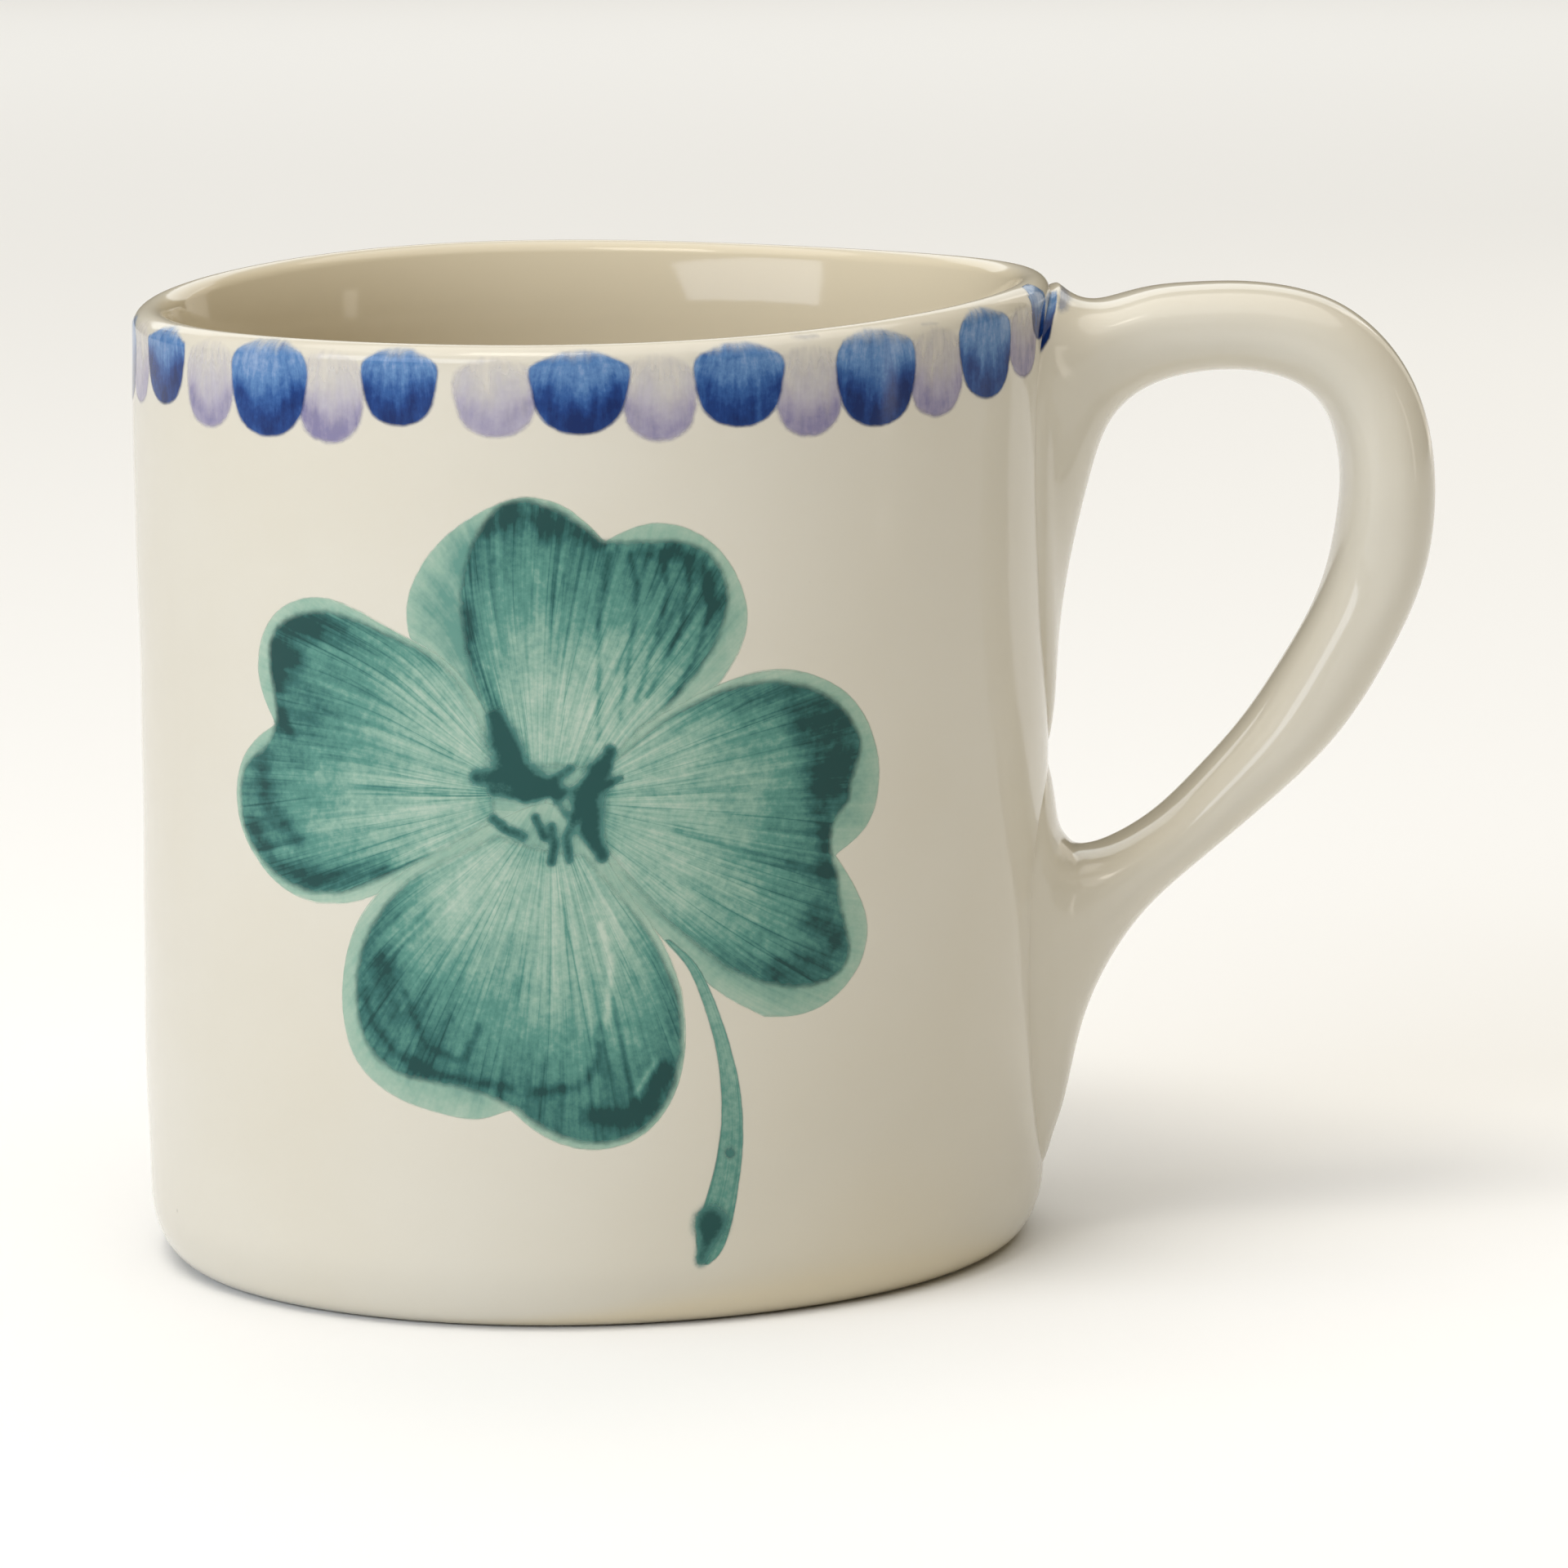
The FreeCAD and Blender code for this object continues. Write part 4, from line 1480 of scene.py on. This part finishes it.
@dataclass
class Clover:
    """The four-leaf clover on the front."""

    wall: Wall
    leaves: tuple[Leaf, ...] = (TOP_LEAF, LEFT_LEAF, RIGHT_LEAF, BOTTOM_LEAF)

    def build(
        self, wash: PaintFinish, strokes: PaintFinish, stem: PaintFinish, dab: DabFinish
    ) -> None:
        """Lays the washes, then the strokes, the stem and the dark dabs.

        Args:
            wash: the pale edge.
            strokes: the brush strokes over it.
            stem: the stem.
            dab: the dark middle and the drop at the stem's end.
        """
        wash_material = wash.material()
        stroke_material = strokes.material()
        for number, leaf in enumerate(self.leaves):
            lift = LEAF_STEP * number
            Painting(
                f"{leaf.name}_leaf_pale", f"{leaf.name}_leaf_wash", Slot.GREEN_WASH,
                UNDER_LIFT + lift, [leaf.wash_film()],
            ).build(self.wall.place, wash_material)
            Painting(
                f"{leaf.name}_leaf_brushwork", f"{leaf.name}_leaf_strokes", Slot.GREEN_STROKES,
                STROKE_LIFT + lift, [leaf.stroke_film()],
            ).build(self.wall.place, stroke_material)
        along, across = spread(*STEM_GRID)
        stem_film = Film(STEM.grid(along, across), along, across, (), 5.0)
        Painting("stem_brushwork", "clover_stem", Slot.GREEN_WASH, STEM_LIFT, [stem_film]).build(
            self.wall.place, stem.material()
        )
        dab_material = dab.material()
        along, across = spread(*DAB_GRID)
        middle = oval_patch((-5.4, 53.0), (8.6, 9.0)).grid(along, across)
        drop = oval_patch((11.6, 11.5), (4.2, 8.0)).grid(along, across)
        for name, node, places, dabs in (
            ("clover_middle", "clover_centre", middle, CENTRE_DABS),
            ("stem_end", "stem_drop", drop, STEM_DABS),
        ):
            film = Film(places, along, across, dabs)
            Painting(name, node, Slot.DARK_GREEN, DAB_LIFT, [film]).build(
                self.wall.place, dab_material
            )


@dataclass(frozen=True)
class Scallop:
    """One dab of the border: its middle, half-width, lowest point and top."""

    middle: float
    half: float
    low: float
    top: float

    def film(self, number: int) -> Film:
        """A strip with straight sides and a round end.

        Args:
            number: its place in the row, which varies its outline and its streaks.

        Returns:
            The film.
        """
        draw = np.random.default_rng(number + 40)
        tilt = draw.uniform(-0.25, 0.25)
        m, h = self.middle, self.half
        drop = h * 0.95
        shoulder = self.low + drop
        waist = (self.top + shoulder) / 2.0
        corner = self.top - 0.7
        patch = Patch(
            left=[(m - h * 0.84, corner), (m - h * 0.97, waist + 0.6), (m - h, shoulder)],
            right=[(m + h * 0.84, corner), (m + h * 0.97, waist + 0.6), (m + h, shoulder)],
            start=[
                (m - h * 0.84, corner),
                (m - h * 0.5, self.top + tilt * 0.4),
                (m + h * 0.5, self.top - tilt * 0.4),
                (m + h * 0.84, corner),
            ],
            end=[
                [
                    (m - h, shoulder),
                    (m - h * 0.78, self.low + drop * 0.36),
                    (m + tilt, self.low),
                    (m + h * 0.78, self.low + drop * 0.36),
                    (m + h, shoulder),
                ]
            ],
        )
        along, across = spread(*STRIP_GRID)
        left_over = Dab(
            [(m - h * 0.7, shoulder - 0.6), (m, self.low + 1.0), (m + h * 0.7, shoulder - 0.6)],
            draw.uniform(0.9, 1.8),
            draw.uniform(0.2, 0.8),
        )
        return Film(patch.grid(along, across), along, across, [left_over], number * 1.7)


@dataclass
class Smears:
    """Stain that ran past the border: a short dab and a smear on the handle's root, and two
    smudges under the lip."""

    wall: Wall
    handle: Handle
    dab: Points = ((0.35, -4.6), (1.6, 3.4))
    dark: Dab = Dab([(-1.25, -6.6), (1.95, -6.2)], 1.4, 0.9)
    smear: Points = ((3.0, -2.6), (1.5, 3.2))
    smudges: tuple[Points, ...] = (((21.3, 95.5), (2.0, 0.6)), ((36.4, 95.9), (1.6, 0.5)))

    def build(self, blue: bpy.types.Material, grey: PaintFinish) -> None:
        """Lays them.

        Args:
            blue: the border's blue.
            grey: the thin grey blue of the smears.
        """
        along, across = spread(*STRIP_GRID)
        faint = grey.material()

        def film(spot: Points, lines: Sequence[Dab], shift: float) -> Film:
            """A film on an oval spot, given as its middle and half-size."""
            return Film(oval_patch(*spot).grid(1.0 - along, across), along, across, lines, shift)

        dab = film(self.dab, [self.dark], 0.3)
        Painting("handle_root_dab", "", Slot.BLUE_STAIN, OVER_LIFT, [dab]).build(
            self.handle.place, blue
        )
        smear = film(self.smear, [], 0.6)
        Painting("handle_root_smear", "", Slot.LAVENDER_STAIN, OVER_LIFT, [smear]).build(
            self.handle.place, faint
        )
        spots = [film(spot, [], 0.9 + number) for number, spot in enumerate(self.smudges)]
        Painting("lip_smudges", "", Slot.LAVENDER_STAIN, STROKE_LIFT, spots).build(
            self.wall.place, faint
        )


@dataclass
class Border:
    """Two rows of scallops under the lip, the blue over the lavender.

    The ones seen from the front are set out one by one. The rest follow evenly round the back,
    each a little different.
    """

    wall: Wall
    count: int = 18
    blue: tuple[tuple[float, ...], ...] = (
        (-52.0, 5.0, 87.3, 95.0),
        (-33.9, 5.2, 85.5, 95.0),
        (-18.8, 4.1, 87.2, 94.8),
        (-1.2, 4.9, 86.6, 94.7),
        (14.2, 4.7, 87.0, 95.2),
        (29.2, 5.0, 86.3, 95.8),
        (45.3, 5.1, 87.8, 96.8),
        (59.3, 3.2, 92.4, 98.2),
    )
    lavender: tuple[tuple[float, ...], ...] = (
        (-60.5, 4.3, 86.6, 95.0),
        (-42.6, 4.3, 85.7, 94.6),
        (-26.3, 4.1, 85.2, 94.4),
        (-9.2, 4.4, 86.2, 94.2),
        (6.4, 3.9, 85.8, 94.4),
        (21.4, 4.0, 85.7, 94.8),
        (37.0, 4.3, 86.6, 95.6),
        (53.8, 4.6, 89.0, 96.6),
    )

    def row(self, known: Sequence[Sequence[float]], seed: int) -> list[Scallop]:
        """A whole row.

        Args:
            known: the scallops set out one by one.
            seed: varies the others.

        Returns:
            count scallops.
        """
        draw = np.random.default_rng(seed)
        turn = 2.0 * math.pi * self.wall.rim_radius
        first, last = known[0][0], known[-1][0]
        others = self.count - len(known)
        step = (turn - (last - first)) / (others + 1)
        row = [Scallop(*values) for values in known]
        for number in range(1, others + 1):
            middle = last + step * number + draw.uniform(-0.8, 0.8)
            rim = self.wall.wave(np.array(middle / self.wall.rim_radius - math.pi / 2.0))
            top = 96.6 + float(rim) + draw.uniform(-0.4, 0.2)
            low = 88.2 + float(rim) * 0.8 + draw.uniform(-0.9, 0.7)
            row.append(Scallop(middle, 4.7 + draw.uniform(-0.5, 0.5), low, top))
        return row

    def build(self, blue: bpy.types.Material, lavender: bpy.types.Material) -> None:
        """Lays the lavender row and then the blue one."""
        for colour, known, slot, material, lift, seed in (
            ("lavender", self.lavender, Slot.LAVENDER_STAIN, lavender, UNDER_LIFT, 3),
            ("blue", self.blue, Slot.BLUE_STAIN, blue, OVER_LIFT, 5),
        ):
            films = [item.film(n + seed) for n, item in enumerate(self.row(known, seed))]
            Painting(f"{colour}_border", f"{colour}_scallops", slot, lift, films).build(
                self.wall.place, material
            )


# --- the studio ---------------------------------------------------------------------------------
@dataclass
class Softbox:
    """A rectangular light that points at the mug."""

    name: str
    place: tuple[float, float, float]
    size: tuple[float, float]
    watts: float
    colour: Colour
    aim: tuple[float, float, float] = (0.0, 0.0, 0.05)

    def build(self) -> None:
        """Hangs the light and turns it to the mug's middle."""
        data = bpy.data.lights.new(self.name, "AREA")
        data.shape = "RECTANGLE"
        data.size, data.size_y = self.size
        data.energy = self.watts
        data.color = self.colour
        light = bpy.data.objects.new(self.name, data)
        bpy.context.scene.collection.objects.link(light)
        spot = Vector(self.place)
        turn = (Vector(self.aim) - spot).to_track_quat("-Z", "Y")
        light.matrix_world = Matrix.Translation(spot) @ turn.to_matrix().to_4x4()


@dataclass
class Studio:
    """Floor, lights and camera."""

    floor_half: float = 8000.0
    floor_colour: Colour = (0.89, 0.90, 0.91)
    floor_roughness: float = 0.9
    sky: Colour = (1.0, 0.81, 0.47)
    sky_strength: float = 0.12
    ceiling_strength: float = 2.0
    ceiling_spread: float = 1.35
    ceiling_colour: Colour = (1.0, 0.97, 0.925)
    lens: float = 155.45
    sensor: float = 36.0
    camera_place: tuple[float, float, float] = (0.0, -0.680, 0.1512)
    yaw: float = 0.0281
    pitch: float = 0.1528
    roll: float = -0.005
    lights: tuple[Softbox, ...] = field(
        default_factory=lambda: (
            Softbox("window", (-1.0, -0.86, 0.62), (1.15, 0.60), 10.5, (0.91, 0.985, 1.12)),
            Softbox("backdrop", (0.0, 3.4, 1.8), (4.2, 1.4), 22.0, (0.94, 0.98, 1.0)),
            Softbox("skylight", (-0.25, -0.45, 1.30), (0.5, 0.4), 4.2, (1.0, 0.93, 0.80)),
            Softbox("back_card", (0.75, 1.05, 0.40), (0.35, 0.8), 0.7, (1.0, 0.93, 0.82)),
            Softbox("low_strip", (1.0, -0.25, 0.20), (0.08, 0.5), 0.35, (1.0, 0.93, 0.82)),
        )
    )

    def build(self) -> None:
        """Sets up everything round the mug."""
        scene = bpy.context.scene
        scene.view_settings.view_transform = "Standard"
        corners = self.floor_half * np.array(
            [[-1.0, -1.0, 0.0], [1.0, -1.0, 0.0], [1.0, 1.0, 0.0], [-1.0, 1.0, 0.0]]
        )
        floor = make_piece("floor", corners, [np.array([[0, 1, 2, 3]])], [True])
        shader = Shader("studio_floor")
        shader.set(base_color=self.floor_colour, roughness=self.floor_roughness)
        floor.data.materials.append(shader.material)
        world = bpy.data.worlds.new("studio")
        world.use_nodes = True
        back = world.node_tree.nodes["Background"]
        back.inputs["Color"].default_value = (*self.sky, 1.0)
        back.inputs["Strength"].default_value = self.sky_strength
        scene.world = world
        for light in self.lights:
            light.build()
        ceiling = bpy.data.lights.new("ceiling", "SUN")
        ceiling.energy = self.ceiling_strength
        ceiling.angle = self.ceiling_spread
        ceiling.color = self.ceiling_colour
        scene.collection.objects.link(bpy.data.objects.new("ceiling", ceiling))
        data = bpy.data.cameras.new("camera")
        data.lens = self.lens
        data.sensor_width = self.sensor
        camera = bpy.data.objects.new("camera", data)
        scene.collection.objects.link(camera)
        camera.matrix_world = (
            Matrix.Translation(self.camera_place)
            @ Matrix.Rotation(-self.yaw, 4, "Z")
            @ Matrix.Rotation(math.pi / 2.0 - self.pitch, 4, "X")
            @ Matrix.Rotation(self.roll, 4, "Z")
        )
        scene.camera = camera


def main() -> None:
    """Builds the mug, its painting and the studio, in that order."""
    logging.basicConfig(level=logging.INFO)
    wall = Wall()
    glaze = GlazeFinish("cream_glaze").material()
    clay = ClayFinish("bare_clay").material()
    Cup(wall, glaze, clay).build()
    handle = Handle(wall, glaze)
    handle.build()
    Clover(wall).build(GREEN_WASH, GREEN_STROKES, STEM_GREEN, DARK_GREEN)
    blue = BLUE_STAIN.material()
    Border(wall).build(blue, LAVENDER_STAIN.material())
    Smears(wall, handle).build(blue, GREY_SMEAR)
    Studio().build()


if __name__ == "__main__":
    main()
